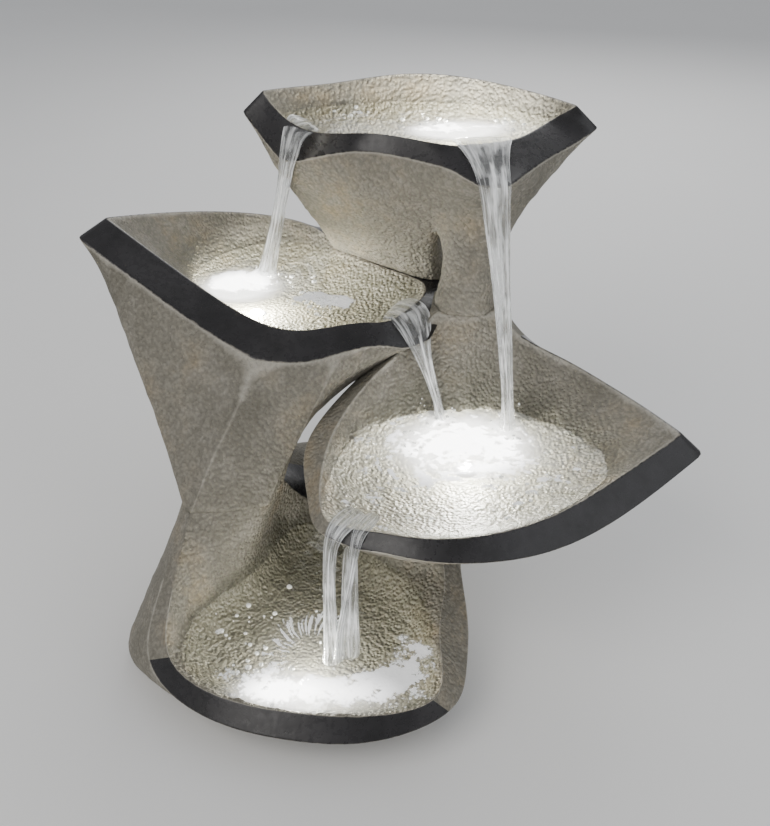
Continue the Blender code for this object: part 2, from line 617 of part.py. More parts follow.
def pump_front():
    """The clip-on strainer that closes the volute, with intake slots round its hub."""
    half = PUMP_WIDE / 2 - 0.5
    low = PUMP_Z - PUMP_HIGH / 2 + 0.5
    back = PUMP_FRONT - GAP
    face = block("pump_strainer", (PUMP_X - half, back - 6, low), (PUMP_X + half, back, low + PUMP_HIGH - 1),
                 BLACK_PLASTIC, bevel=1.2)
    well = cylinder_cutter("cut_well", 9.5, back - 4, back + 2, (PUMP_X, 0, PUMP_Z), axis="Y")
    subtract(face, well, "well")
    for i in range(5):
        x = PUMP_X - 9.5 + i * 4.2
        slot = block(f"cut_intake_{i}", (x, back - 9, PUMP_Z - 7), (x + 2.2, back - 3, PUMP_Z - 3), CUTTER)
        subtract(face, slot, f"low_{i}")
        high = block(f"cut_intake_high_{i}", (x, back - 9, PUMP_Z + 3), (x + 2.2, back - 3, PUMP_Z + 7),
                     CUTTER)
        subtract(face, high, f"high_{i}")
    turned("front_bush", ((SHAFT_RADIUS + RUNNING_GAP, -3.6), (2.9, -3.6), (2.9, -0.6),
                          (SHAFT_RADIUS + RUNNING_GAP, -0.6)),
           GREY_PLASTIC, (PUMP_X, back, PUMP_Z), axis="Y", sides=16)


def impeller():
    """A six-vaned wheel on a magnet rotor, free to turn on the fixed ceramic shaft."""
    at = (PUMP_X, PUMP_FRONT + 2, PUMP_Z)
    bore = SHAFT_RADIUS + RUNNING_GAP
    length = ROTOR_BACK - PUMP_FRONT - 4
    wheel = turned("impeller", ((bore, 0), (3.2, 0), (3.2, 6), (9.4, 7), (9.4, 8.4), (5.9, 8.6),
                                (5.9, length), (bore, length)), GREY_PLASTIC, at, axis="Y", sides=24)
    for i in range(6):
        vane = block(f"vane_{i}", (-0.6, 2.6, 0.6), (0.6, 9.2, 7.4), CUTTER)
        vane.parent = wheel
        turn = math.radians(60 * i)
        middle = Vector((0, 5.9, 4.0)) * MM
        vane.location = (-middle.y * math.sin(turn), middle.y * math.cos(turn), middle.z)
        vane.rotation_euler = (0, 0, turn)
        join = wheel.modifiers.new(f"vane_{i}", "BOOLEAN")
        join.operation = "UNION"
        join.solver = "EXACT"
        join.object = vane
        vane.hide_render = True
        vane.display_type = "WIRE"
    shaft = ROTOR_BACK - PUMP_FRONT + 6.5
    turned("impeller_shaft", ((0, 0), (SHAFT_RADIUS, 0), (SHAFT_RADIUS, shaft), (0, shaft)),
           STEEL, (PUMP_X, PUMP_FRONT - 3.5, PUMP_Z), axis="Y", sides=16)
    turned("rear_bush", ((SHAFT_RADIUS + RUNNING_GAP, 0.4), (3.0, 0.4), (3.0, 3.6),
                         (SHAFT_RADIUS + RUNNING_GAP, 3.6)),
           GREY_PLASTIC, (PUMP_X, ROTOR_BACK, PUMP_Z), axis="Y", sides=16)


def pump_fittings():
    top = PUMP_Z + PUMP_HIGH / 2
    turned("pump_outlet", ((2.8, GAP), (6.0, GAP), (6.0, 2.5), (3.7, 3.0), (3.7, 8), (3.3, 9), (2.8, 9)),
           BLACK_PLASTIC, (PUMP_X, 138, top))
    turned("flow_dial", ((0, 0), (2, 0), (2, 7.2), (5.5, 7.2), (5.5, 9.4), (1.4, 9.4), (1, 11), (0, 11)),
           GREY_PLASTIC, (PUMP_X + DIAL_END, 138, PUMP_Z), axis="X", sides=18)
    reach = PUMP_Z - PUMP_HIGH / 2 - CHAMBER_Z[0] - GAP
    for side, x in (("left", -11.0), ("right", 11.0)):
        for end, y in (("front", 139.0), ("rear", 165.0)):
            cup = ((0, 1.2), (3.4, GAP), (5, GAP), (2.4, 2.4), (2.4, reach), (0, reach))
            turned(f"suction_cup_{end}_{side}", cup, RUBBER, (PUMP_X + x, y, CHAMBER_Z[0]), sides=16)
    block("filter_foam", (CHAMBER_X[0] + 4, 109, 14), (CHAMBER_X[1] - 4, 114, 46), FOAM, bevel=0.6)


def riser(hosts):
    route = smooth_route(RISER, 2)
    swept("riser_tube", route, (TUBE_RADIUS, TUBE_BORE), TUBE, 10)
    ahead = (route[-1] - route[-2]).normalized()
    bore = swept("cut_riser", route + [route[-1] + ahead * 10], (TUBE_RADIUS + 0.7,), CUTTER, 10)
    for host in hosts:
        subtract(host, bore, "riser")
    seat = cylinder_cutter("cut_diffuser", 10.6, -1.5, 16, (31, 190, TOP_FLOOR))
    subtract(hosts[-1], seat, "diffuser")
    turned("top_diffuser", ((3.0, -1.2), (10, -1.2), (10, 0.8), (5.5, 1.8), (5.5, 5), (3.0, 5)),
           BLACK_PLASTIC, (31, 190, TOP_FLOOR))


top = top_bowl()
left = left_bowl()
right = right_bowl()
base = basin()
near_left = inflated(left, "cut_left_joint")
subtract(right, near_left, "left_joint")
subtract(top, near_left, "left_joint")
chamber(base)
rear_cover()
intake_grille()
pump_housing()
pump_front()
impeller()
pump_fittings()
riser((base, right, top))
feet(base)
for place, host in (("basin", base), ("right", right), ("left", left), ("top", top)):
    pool_light(place, host)

frame_origin = bpy.data.objects.new("frame_origin", None)
bpy.context.scene.collection.objects.link(frame_origin)
frame_origin.location = (-ORIGIN_X * MM, -ORIGIN_Y * MM, 0.0)
for item in list(bpy.context.scene.objects):
    if item is not frame_origin and item.parent is None:
        item.parent = frame_origin
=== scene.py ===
import math
import random

import bmesh
import bpy
from mathutils import Matrix, Vector, noise


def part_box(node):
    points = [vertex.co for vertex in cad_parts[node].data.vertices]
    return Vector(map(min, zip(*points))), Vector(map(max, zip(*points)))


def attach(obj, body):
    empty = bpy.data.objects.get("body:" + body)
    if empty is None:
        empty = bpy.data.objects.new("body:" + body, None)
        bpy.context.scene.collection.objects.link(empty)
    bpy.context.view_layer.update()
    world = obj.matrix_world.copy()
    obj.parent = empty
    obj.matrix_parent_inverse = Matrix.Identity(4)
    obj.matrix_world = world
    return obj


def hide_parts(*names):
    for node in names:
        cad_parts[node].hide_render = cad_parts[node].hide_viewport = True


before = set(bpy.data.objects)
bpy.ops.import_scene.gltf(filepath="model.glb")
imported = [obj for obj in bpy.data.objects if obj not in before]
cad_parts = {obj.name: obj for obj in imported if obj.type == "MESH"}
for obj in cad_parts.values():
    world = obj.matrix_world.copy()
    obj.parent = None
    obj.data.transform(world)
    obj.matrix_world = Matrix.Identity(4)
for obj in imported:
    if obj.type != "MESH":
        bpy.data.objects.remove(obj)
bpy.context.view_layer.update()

# ------------------------------------------------------------------ room
# A pale seamless floor under broad, soft lamps, so that the dark rims keep a clean edge and the
# lit pools still read as light sources. The camera looks down into the bowls from the front.
EYE = Vector((0.0005, -0.67885, 0.612))
AIM = Vector((0.0005, -0.07485, 0.22))
LENS = 43.6
FLOOR_SIZE = 14.0
FLOOR_COLOUR = (0.86, 0.855, 0.84, 1.0)
SKY_COLOUR = (0.80, 0.82, 0.86, 1.0)
SKY_STRENGTH = 0.56
SOFT_LAMPS = {
    "key_lamp": ((-1.0, -1.1, 1.5), 1.3, 15.0, (1.0, 0.97, 0.93)),
    "fill_lamp": ((1.4, -0.7, 1.0), 1.6, 6.0, (0.93, 0.96, 1.0)),
    "back_lamp": ((0.4, 1.5, 1.2), 1.2, 12.0, (1.0, 1.0, 1.0)),
}

camera = bpy.data.objects.new("camera", bpy.data.cameras.new("camera"))
bpy.context.scene.collection.objects.link(camera)
camera.location = EYE
camera.rotation_euler = (AIM - EYE).to_track_quat("-Z", "Y").to_euler()
camera.data.lens = LENS
camera.data.sensor_width = 36.0
bpy.context.scene.camera = camera

world = bpy.data.worlds.new("studio")
world.use_nodes = True
world.node_tree.nodes["Background"].inputs["Color"].default_value = SKY_COLOUR
world.node_tree.nodes["Background"].inputs["Strength"].default_value = SKY_STRENGTH
bpy.context.scene.world = world

for name, (spot, width, power, tint) in SOFT_LAMPS.items():
    lamp = bpy.data.objects.new(name, bpy.data.lights.new(name, "AREA"))
    bpy.context.scene.collection.objects.link(lamp)
    lamp.location = spot
    lamp.rotation_euler = (AIM - Vector(spot)).to_track_quat("-Z", "Y").to_euler()
    lamp.data.size = width
    lamp.data.energy = power
    lamp.data.color = tint


def add(tree, kind, feeds=None, **settings):
    """A node with its settings, each socket fed by a value or by another node's output."""
    made = tree.nodes.new(kind)
    for key, value in settings.items():
        setattr(made, key, value)
    for socket, value in (feeds or {}).items():
        if isinstance(value, bpy.types.NodeSocket):
            tree.links.new(value, made.inputs[socket])
        else:
            made.inputs[socket].default_value = value
    return made


def feed(tree, shader, feeds):
    for socket, value in feeds.items():
        if isinstance(value, bpy.types.NodeSocket):
            tree.links.new(value, shader.inputs[socket])
        else:
            shader.inputs[socket].default_value = value


def new_look(name):
    """A new material: its node tree, its shader and its object-space position."""
    look = bpy.data.materials.new(name)
    look.use_nodes = True
    tree = look.node_tree
    shader = tree.nodes["Principled BSDF"]
    return look, tree, shader, add(tree, "ShaderNodeTexCoord").outputs["Object"]


def mottle(tree, at, scale, detail=3.0, roughness=0.5):
    feeds = {"Vector": at, "Scale": scale, "Detail": detail, "Roughness": roughness}
    return add(tree, "ShaderNodeTexNoise", feeds).outputs[0]


def span(tree, value, low, high, to_low=0.0, to_high=1.0):
    """Maps a value from one range to another, held at both ends."""
    feeds = {"Value": value, "From Min": low, "From Max": high, "To Min": to_low, "To Max": to_high}
    return add(tree, "ShaderNodeMapRange", feeds).outputs[0]


def mixed(tree, share, first, second):
    """One colour fading into another."""
    return add(tree, "ShaderNodeMix", {0: share, 6: first, 7: second}, data_type="RGBA").outputs[2]


def sums(tree, kind, first, second):
    return add(tree, "ShaderNodeMath", {0: first, 1: second}, operation=kind).outputs[0]


def raised(tree, height, distance, strength=1.0, below=None):
    feeds = {"Height": height, "Distance": distance, "Strength": strength}
    if below is not None:
        feeds["Normal"] = below
    return add(tree, "ShaderNodeBump", feeds).outputs[0]


def new_piece(name, bm, looks):
    mesh = bpy.data.meshes.new(name)
    bm.to_mesh(mesh)
    bm.free()
    for look in looks:
        mesh.materials.append(look)
    piece = bpy.data.objects.new(name, mesh)
    bpy.context.scene.collection.objects.link(piece)
    return piece


floor_look, tree, shader, at = new_look("pale_floor")
cloud = mottle(tree, at, 3.0)
feed(tree, shader, {
    "Base Color": mixed(tree, cloud, FLOOR_COLOUR, (0.90, 0.895, 0.88, 1.0)),
    "Roughness": span(tree, cloud, 0.0, 1.0, 0.75, 0.85),
})
bm = bmesh.new()
bmesh.ops.create_grid(bm, x_segments=2, y_segments=2, size=FLOOR_SIZE / 2)
floor = new_piece("studio_floor", bm, [floor_look])

# ------------------------------------------------------------------ basin
# The lowest casting holds the wide pool, the pump's room behind it and the four leg roots. It is
# cast stone with a tooled, leathery skin, and its front edge is ground smooth and sealed black.
DRAWING_X = -0.5
DRAWING_Y = 74.85
RIM_CREASE = 0.56
FINE_LEVEL = 4
BASIN_FLOOR = 24.0
FOOT_TOP = 3.0
# Each rib: pool floor, pool edge, crest, inner top, outer top, middle, foot.
BASIN_RIBS = [
    ((20, -92), (36, -112, 46), (42, -120, 50),
     (43, -121, 51), (56, -118, 38), (50, -100, 20), (48, -84)),
    ((20, -70), (35, -78, 46), (41, -80, 50),
     (42, -80, 52), (62, -76, 40), (60, -70, 20), (54, -62)),
    ((18, -44), (31, -44, 47), (38, -46, 51),
     (41, -46, 53), (66, -42, 44), (66, -38, 22), (60, -34)),
    ((12, -20), (26, -16, 47), (40, -18, 54),
     (46, -18, 56), (65, -14, 50), (66, -10, 24), (62, -6)),
    ((4, -2), (16, 4, 48), (42, 4, 58),
     (51, 5, 60), (62, 12, 56), (66, 18, 26), (63, 20)),
    ((-6, 12), (4, 20, 48), (27, 20, 60),
     (34, 37, 110), (56, 54, 110), (64, 52, 60), (62, 52)),
    ((-16, 26), (-8, 34, 48), (5, 31, 62),
     (12, 32, 110), (58, 72, 110), (66, 86, 60), (66, 88)),
    ((-26, 38), (-20, 50, 48), (-12, 46, 64),
     (-10, 47, 110), (46, 92, 110), (62, 120, 60), (66, 126)),
    ((-38, 52), (-36, 70, 48), (-26, 74, 66),
     (-14, 72, 110), (18, 104, 110), (48, 154, 60), (56, 166)),
    ((-52, 64), (-54, 84, 49), (-52, 91, 55),
     (-46, 98, 62), (-8, 132, 66), (20, 190, 72), (30, 198)),
    ((-68, 66), (-74, 84, 49), (-74, 91, 55),
     (-72, 99, 62), (-60, 142, 66), (-32, 212, 72), (-22, 218)),
    ((-80, 56), (-92, 66, 50), (-96, 70, 72),
     (-87, 60, 121), (-104, 81, 121), (-92, 204, 66), (-88, 218)),
    ((-88, 38), (-100, 42, 50), (-100, 42, 76),
     (-83, 44, 121), (-124, 88, 121), (-140, 168, 60), (-148, 200)),
    ((-98, 16), (-112, 16, 49), (-107, 16, 74),
     (-93, 18, 121), (-141, 81, 121), (-166, 124, 60), (-180, 152)),
    ((-116, -6), (-136, -6, 48), (-134, -8, 68),
     (-121, 9, 121), (-154, 62, 121), (-174, 78, 60), (-190, 92)),
    ((-128, -32), (-150, -34, 47), (-155, -34, 62),
     (-152, 9, 121), (-161, 34, 121), (-186, 34, 62), (-202, 40)),
    ((-130, -54), (-152, -58, 46), (-160, -60, 57),
     (-163, -40, 82), (-169, -30, 84), (-198, -12, 46), (-208, -2)),
    ((-124, -72), (-146, -84, 46), (-157, -88, 51),
     (-168, -84, 54), (-190, -74, 42), (-216, -56, 24), (-214, -38)),
    ((-100, -90), (-112, -106, 46), (-117, -114, 50),
     (-120, -117, 51), (-130, -128, 38), (-126, -108, 20), (-120, -84)),
    ((-58, -100), (-60, -118, 46), (-62, -127, 50),
     (-62, -129, 51), (-62, -143, 37), (-62, -122, 20), (-62, -96)),
    ((-14, -102), (-10, -122, 46), (-10, -131, 50),
     (-10, -133, 51), (-8, -147, 37), (-8, -124, 20), (-8, -98)),
]


def put(p):
    """A point of the drawing, in millimetres, as a place in the frame."""
    return Vector((p[0] - DRAWING_X, p[1] - DRAWING_Y, p[2])) / 1000


def stone_look(name, ochre):
    """Tooled cast stone: close dimples, fine grain, olive and ochre stains, pale arrises that are partly rubbed wear
    and partly a painted highlight.
    """
    look, tree, shader, at = new_look(name)
    broad = mottle(tree, at, 11.0, 5.0, 0.6)
    patches = mottle(tree, at, 46.0, 5.0, 0.65)
    cells = add(tree, "ShaderNodeTexVoronoi", {"Vector": at, "Scale": 370.0}, feature="SMOOTH_F1")
    dimples = span(tree, cells.outputs["Distance"], 0.05, 0.62)
    crust = mottle(tree, at, 900.0, 3.0, 0.7)
    tone = mixed(tree, span(tree, broad, 0.34, 0.66), (0.185, 0.172, 0.136, 1), (0.318, 0.298, 0.246, 1))
    tone = mixed(tree, span(tree, patches, 0.48, 0.75, 0.0, 0.55), tone, (0.44, 0.415, 0.360, 1))
    stain = sums(tree, "MULTIPLY", span(tree, patches, 0.42, 0.62), span(tree, broad, 0.50, 0.62, 0.0, ochre))
    tone = mixed(tree, stain, tone, (0.30, 0.225, 0.115, 1))
    pit = sums(tree, "ADD", span(tree, dimples, 0.35, 0.9, 0.0, 0.38), span(tree, crust, 0.54, 0.76, 0.0, 0.45))
    tone = mixed(tree, pit, tone, (0.070, 0.061, 0.046, 1))
    edge = add(tree, "ShaderNodeAttribute", attribute_name="edge").outputs["Fac"]
    # Pale arrises: partly rubbed wear, partly a painted highlight along the edges.
    worn_and_highlit_edge = sums(tree, "ADD", edge, span(tree, patches, 0.3, 0.7, -0.05, 0.04))
    tone = mixed(tree, span(tree, worn_and_highlit_edge, 0.90, 0.99, 0.0, 0.6), tone, (0.52, 0.49, 0.42, 1))
    wet = add(tree, "ShaderNodeAttribute", attribute_name="wet").outputs["Fac"]
    tone = mixed(tree, span(tree, wet, 0.35, 0.8, 0.0, 0.62), tone, (0.080, 0.077, 0.052, 1))
    lumps = raised(tree, mottle(tree, at, 150.0, 2.0), 0.0012, 0.8)
    skin = raised(tree, dimples, 0.0015, 1.0, lumps)
    feed(tree, shader, {
        "Base Color": tone,
        "Roughness": sums(tree, "SUBTRACT", span(tree, crust, 0.3, 0.7, 0.60, 0.84),
                          span(tree, wet, 0.3, 0.9, 0.0, 0.30)),
        "Normal": raised(tree, crust, 0.0005, 0.8, skin),
        "Specular IOR Level": 0.45,
    })
    return look


def rim_look(name):
    """Sealed black rim: smooth, faintly rippled, with water marks and a pale edge that is partly rubbed wear and
    partly a painted highlight.
    """
    look, tree, shader, at = new_look(name)
    marks = mottle(tree, at, 38.0, 4.0, 0.6)
    smear = mottle(tree, at, 190.0, 3.0, 0.6)
    edge = add(tree, "ShaderNodeAttribute", attribute_name="edge").outputs["Fac"]
    # Pale line along the rim's arrises: partly rubbed wear, partly a painted highlight.
    worn_and_highlit_edge = sums(tree, "ADD", edge, span(tree, smear, 0.3, 0.7, -0.05, 0.03))
    tone = mixed(tree, span(tree, marks, 0.35, 0.7), (0.011, 0.010, 0.010, 1), (0.024, 0.022, 0.023, 1))
    tone = mixed(tree, span(tree, worn_and_highlit_edge, 0.93, 0.985, 0.0, 0.8), tone, (0.30, 0.275, 0.225, 1))
    ripple = raised(tree, marks, 0.0008, 0.35)
    feed(tree, shader, {
        "Base Color": tone,
        "Roughness": span(tree, smear, 0.3, 0.7, 0.20, 0.38),
        "Normal": raised(tree, smear, 0.0002, 0.4, ripple),
        "Specular IOR Level": 0.5,
    })
    return look


def new_cage(*labels):
    """An empty control cage with room for sharp edges, the named markings and tooling depth."""
    bm = bmesh.new()
    bm.edges.layers.float.new("crease_edge")
    for label in ("crease_vert", *labels):
        bm.verts.layers.float.new(label)
    bm.verts.layers.deform.verify()
    return bm


def ring_edges(bm, ring):
    return [bm.edges.get((ring[i - 1], ring[i])) for i in range(len(ring))]


def next_course(bm, ring, places):
    """Extrudes a ring of edges once and sets its new corners in place."""
    made = bmesh.ops.extrude_edge_only(bm, edges=ring_edges(bm, ring))["geom"]
    fresh = {corner for corner in made if isinstance(corner, bmesh.types.BMVert)}
    risen = []
    for corner, place in zip(ring, places):
        twin = next(e.other_vert(corner) for e in corner.link_edges if e.other_vert(corner) in fresh)
        twin.co = place
        risen.append(twin)
    return risen


def build_courses(bm, courses):
    """A closed stack of courses: the first is a face, each next one is drawn out of the last."""
    ring = [bm.verts.new(place) for place in courses[0]]
    bm.faces.new(ring)
    rings = [ring]
    for places in courses[1:]:
        rings.append(next_course(bm, rings[-1], places))
    return rings


def mark(bm, corners, label, amount):
    layer = bm.verts.layers.float[label]
    for corner in corners:
        corner[layer] = amount


def crease(bm, edges, amount):
    layer = bm.edges.layers.float["crease_edge"]
    for edge in edges:
        edge[layer] = amount


def crease_up(bm, rings, rib, amount):
    """Sharpens one rib's line from the first of these rings to the last."""
    crease(bm, [bm.edges.get((a[rib], b[rib])) for a, b in zip(rings, rings[1:])], amount)


def courses_of(floor, ribs, foot):
    """Turns ribs into courses, giving the pool floor and the foot their heights."""
    ribs = [[(*rib[0], floor), *rib[1:-1], (*rib[-1][:2], foot)] for rib in ribs]
    return [[put(p) for p in course] for course in zip(*ribs)]


def dress_rim(bm, rings, rim, banded, tips):
    """Sharp arrises on both sides of the rim band, its black faces, and its pointed tips."""
    inner, middle, outer = rings[rim], rings[rim + 1], rings[rim + 2]
    crease(bm, ring_edges(bm, inner) + ring_edges(bm, outer), RIM_CREASE)
    # The edge mark paints both arrises pale: partly rubbed wear, partly a painted highlight.
    mark(bm, inner + outer, "edge", 1.0)
    for rib in tips:
        mark(bm, [inner[rib], middle[rib], outer[rib]], "crease_vert", 0.8)
        crease_up(bm, [inner, middle, outer], rib, RIM_CREASE)
    for rib in banded:
        after = (rib + 1) % len(inner)
        for a, b in ((inner, middle), (middle, outer)):
            strip = set(a[rib].link_faces) & set(b[after].link_faces)
            for face in strip:
                face.material_index = 1


def tooling(bm, rings, rim, last):
    """Full tooling depth on the walls, none on the rim band and the joint faces."""
    layer = bm.verts.layers.deform.active
    for corner in bm.verts:
        corner[layer][0] = 1.0
    for ring in (rings[rim], rings[rim + 1], rings[rim + 2], *last):
        for corner in ring:
            corner[layer][0] = 0.0


def settle(piece):
    """Turns a piece and its modifiers into one plain mesh."""
    graph = bpy.context.evaluated_depsgraph_get()
    shaped = piece.evaluated_get(graph)
    mesh = bpy.data.meshes.new_from_object(shaped, preserve_all_data_layers=True, depsgraph=graph)
    piece.modifiers.clear()
    piece.data = mesh
    mesh.shade_smooth()
    return piece


def refine(piece, level):
    surface = piece.modifiers.new("surface", "SUBSURF")
    surface.levels = level
    surface.render_levels = level


CHAMBER_ARRIS = 50.0
STONE_MARKS = ("edge", "wet")
TOOLING = {"swell": (0.016, 0.0016), "hammer": (0.0075, 0.0011)}


def cast(name, bm, looks, node):
    """Pours a cage: smooth surface and tooled skin as modifiers, on one mesh that stands for its solid."""
    bmesh.ops.recalc_face_normals(bm, faces=bm.faces)
    piece = new_piece(name, bm, looks)
    piece.vertex_groups.new(name="tooling")
    refine(piece, FINE_LEVEL)
    for label, (size, depth) in TOOLING.items():
        pattern = bpy.data.textures.get(label) or bpy.data.textures.new(label, "CLOUDS")
        pattern.noise_scale = size
        pattern.noise_depth = 1
        dent = piece.modifiers.new(label, "DISPLACE")
        dent.texture = pattern
        dent.texture_coords = "LOCAL"
        dent.strength = depth
        dent.mid_level = 0.5
        dent.vertex_group = "tooling"
    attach(piece, "fountain")
    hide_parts(node)
    return piece


def hollow(piece, low, high):
    """Cuts a square-cornered room, given by two corners of the drawing, out of a casting."""
    bm = bmesh.new()
    bmesh.ops.create_cube(bm, size=1.0)
    low, high = put(low), put(high)
    bmesh.ops.scale(bm, vec=high - low, verts=bm.verts)
    bmesh.ops.translate(bm, vec=(low + high) / 2, verts=bm.verts)
    room = new_piece("room", bm, piece.data.materials[:1])
    cut = piece.modifiers.new("room", "BOOLEAN")
    cut.operation = "DIFFERENCE"
    cut.object = room
    settle(piece)
    piece.data.set_sharp_from_angle(angle=math.radians(CHAMBER_ARRIS))
    bpy.data.objects.remove(room)


stone = stone_look("cast_stone_skin", 0.55)
rim_black = rim_look("sealed_black_rim")
BASIN_RIM = 3
basin_courses = courses_of(BASIN_FLOOR, BASIN_RIBS, FOOT_TOP)
basin_courses.insert(BASIN_RIM + 1, [(a + b) / 2 for a, b in zip(basin_courses[3], basin_courses[4])])
bm = new_cage(*STONE_MARKS)
rings = build_courses(bm, basin_courses)
bm.faces.new(rings[-1])
# The black band runs along the front (ribs 17 to 20) and also over the low back saddle (ribs 8 to 10), where it
# keeps the stone seen through the arch dark.
dress_rim(bm, rings, BASIN_RIM, [8, 9, 10, 17, 18, 19, 20], [5, 8, 11, 15])
for ring in (rings[BASIN_RIM], rings[BASIN_RIM + 2]):
    mark(bm, ring[5:16], "edge", 0.0)
    for seat in (ring[5:9], ring[11:16]):
        crease(bm, [bm.edges.get(pair) for pair in zip(seat, seat[1:])], 1.0)
crease(bm, ring_edges(bm, rings[2]), 0.4)
crease(bm, ring_edges(bm, rings[-1]), 0.9)
mark(bm, rings[0] + rings[1], "wet", 1.0)
mark(bm, rings[2], "wet", 0.3)
tooling(bm, rings, BASIN_RIM, [rings[-1]])
basin = cast("basin_casting", bm, [stone, rim_black], "basin")
settle(basin)
hollow(basin, (-62, 108, 12), (-10, 190, 52))
hollow(basin, (-67, 185.7, 8), (-5, 246, 57))
hollow(basin, (-50, 58, 27), (-22, 112, 41))

# ------------------------------------------------------------------ right bowl
# The middle casting reaches out to the right from its stem. Its pointed tip rises beside the
# pool, and its low left wall dips into the double lip that pours into the basin.
RIGHT_FLOOR = 141.0
STEM_SEAM = 110.3
RIGHT_RIBS = [
    ((112, 16), (160, 8, 160), (227, 27, 184), (245, 22, 168), (180, 25, 142), (58, 62)),
    ((108, 32), (152, 38, 160), (205, 62, 186), (222, 78, 168), (170, 66, 141), (56, 72)),
    ((100, 46), (134, 62, 160), (176, 90, 193), (190, 107, 175), (146, 92, 143), (52, 82)),
    ((88, 56), (114, 80, 160), (146, 109, 204), (158, 127, 186), (122, 114, 148), (46, 90)),
    ((74, 62), (90, 92, 162), (108, 122, 216), (116, 144, 202), (104, 136, 164), (38, 97)),
    ((62, 64), (72, 96, 164), (92, 122, 240), (92, 160, 240), (92, 158, 192), (28, 102)),
    ((50, 64), (50, 94, 164), (68, 110, 240), (68, 171, 240), (68, 166, 188), (18, 103)),
    ((38, 62), (28, 90, 163), (42, 120, 240), (42, 160, 240), (34, 150, 180), (8, 101)),
    ((28, 58), (8, 82, 161), (13, 100, 214), (6, 122, 206), (6, 124, 164), (-1, 96)),
    ((18, 50), (-10, 68, 160), (-14, 82, 198), (-26, 98, 188), (-22, 98, 152), (-8, 89)),
    ((8, 40), (-22, 52, 159), (-34, 56, 182), (-54, 64, 172), (-42, 66, 140), (-12, 80)),
    ((2, 28), (-30, 30, 158), (-45, 22, 176), (-66, 24, 168), (-48, 28, 134), (-14, 70)),
    ((0, 12), (-32, 4, 157), (-49, -15, 168), (-58, -14, 156), (-46, -6, 130), (-14, 60)),
    ((2, -4), (-30, -20, 156), (-47, -42, 165), (-54, -44, 152), (-40, -30, 128), (-12, 51)),
    ((8, -18), (-24, -38, 155), (-40, -56, 162), (-42, -64, 158), (-32, -46, 132), (-8, 43)),
    ((16, -26), (-8, -46, 155), (-18, -62, 162), (-18, -72, 153), (-14, -54, 130), (-1, 37)),
    ((24, -32), (6, -52, 156), (-7, -67, 166), (-1, -79, 157), (4, -58, 127), (8, 33)),
    ((40, -38), (34, -62, 157), (28, -78, 166), (30, -90, 156), (34, -62, 126), (20, 31)),
    ((62, -38), (70, -58, 157), (72, -73, 166), (78, -87, 153), (74, -54, 127), (34, 33)),
    ((86, -28), (108, -42, 157), (117, -54, 166), (125, -70, 150), (112, -38, 130), (46, 41)),
    ((104, -8), (144, -16, 158), (162, -18, 167), (178, -32, 151), (150, -10, 135), (54, 51)),
]
right_courses = courses_of(RIGHT_FLOOR, RIGHT_RIBS, STEM_SEAM)
BOWL_RIM = 2


def with_band(courses):
    """Adds a course along the middle of the rim band."""
    middle = [(a + b) / 2 for a, b in zip(courses[BOWL_RIM], courses[BOWL_RIM + 1])]
    return courses[:BOWL_RIM + 1] + [middle] + courses[BOWL_RIM + 1:]


bm = new_cage(*STONE_MARKS)
rings = build_courses(bm, with_band(right_courses))
bm.faces.new(rings[-1])
dress_rim(bm, rings, BOWL_RIM, [14, 15, 16, 17, 18, 19, 20, 0, 1, 2, 3], [0, 5, 7])
crease(bm, ring_edges(bm, rings[-1]), 1.0)
mark(bm, [rings[4][14], rings[4][15]], "crease_vert", 0.8)
mark(bm, rings[0] + rings[1], "wet", 1.0)
tooling(bm, rings, BOWL_RIM, [rings[-1]])
right_bowl = settle(cast("right_bowl_casting", bm, [stone, rim_black], "right_bowl"))

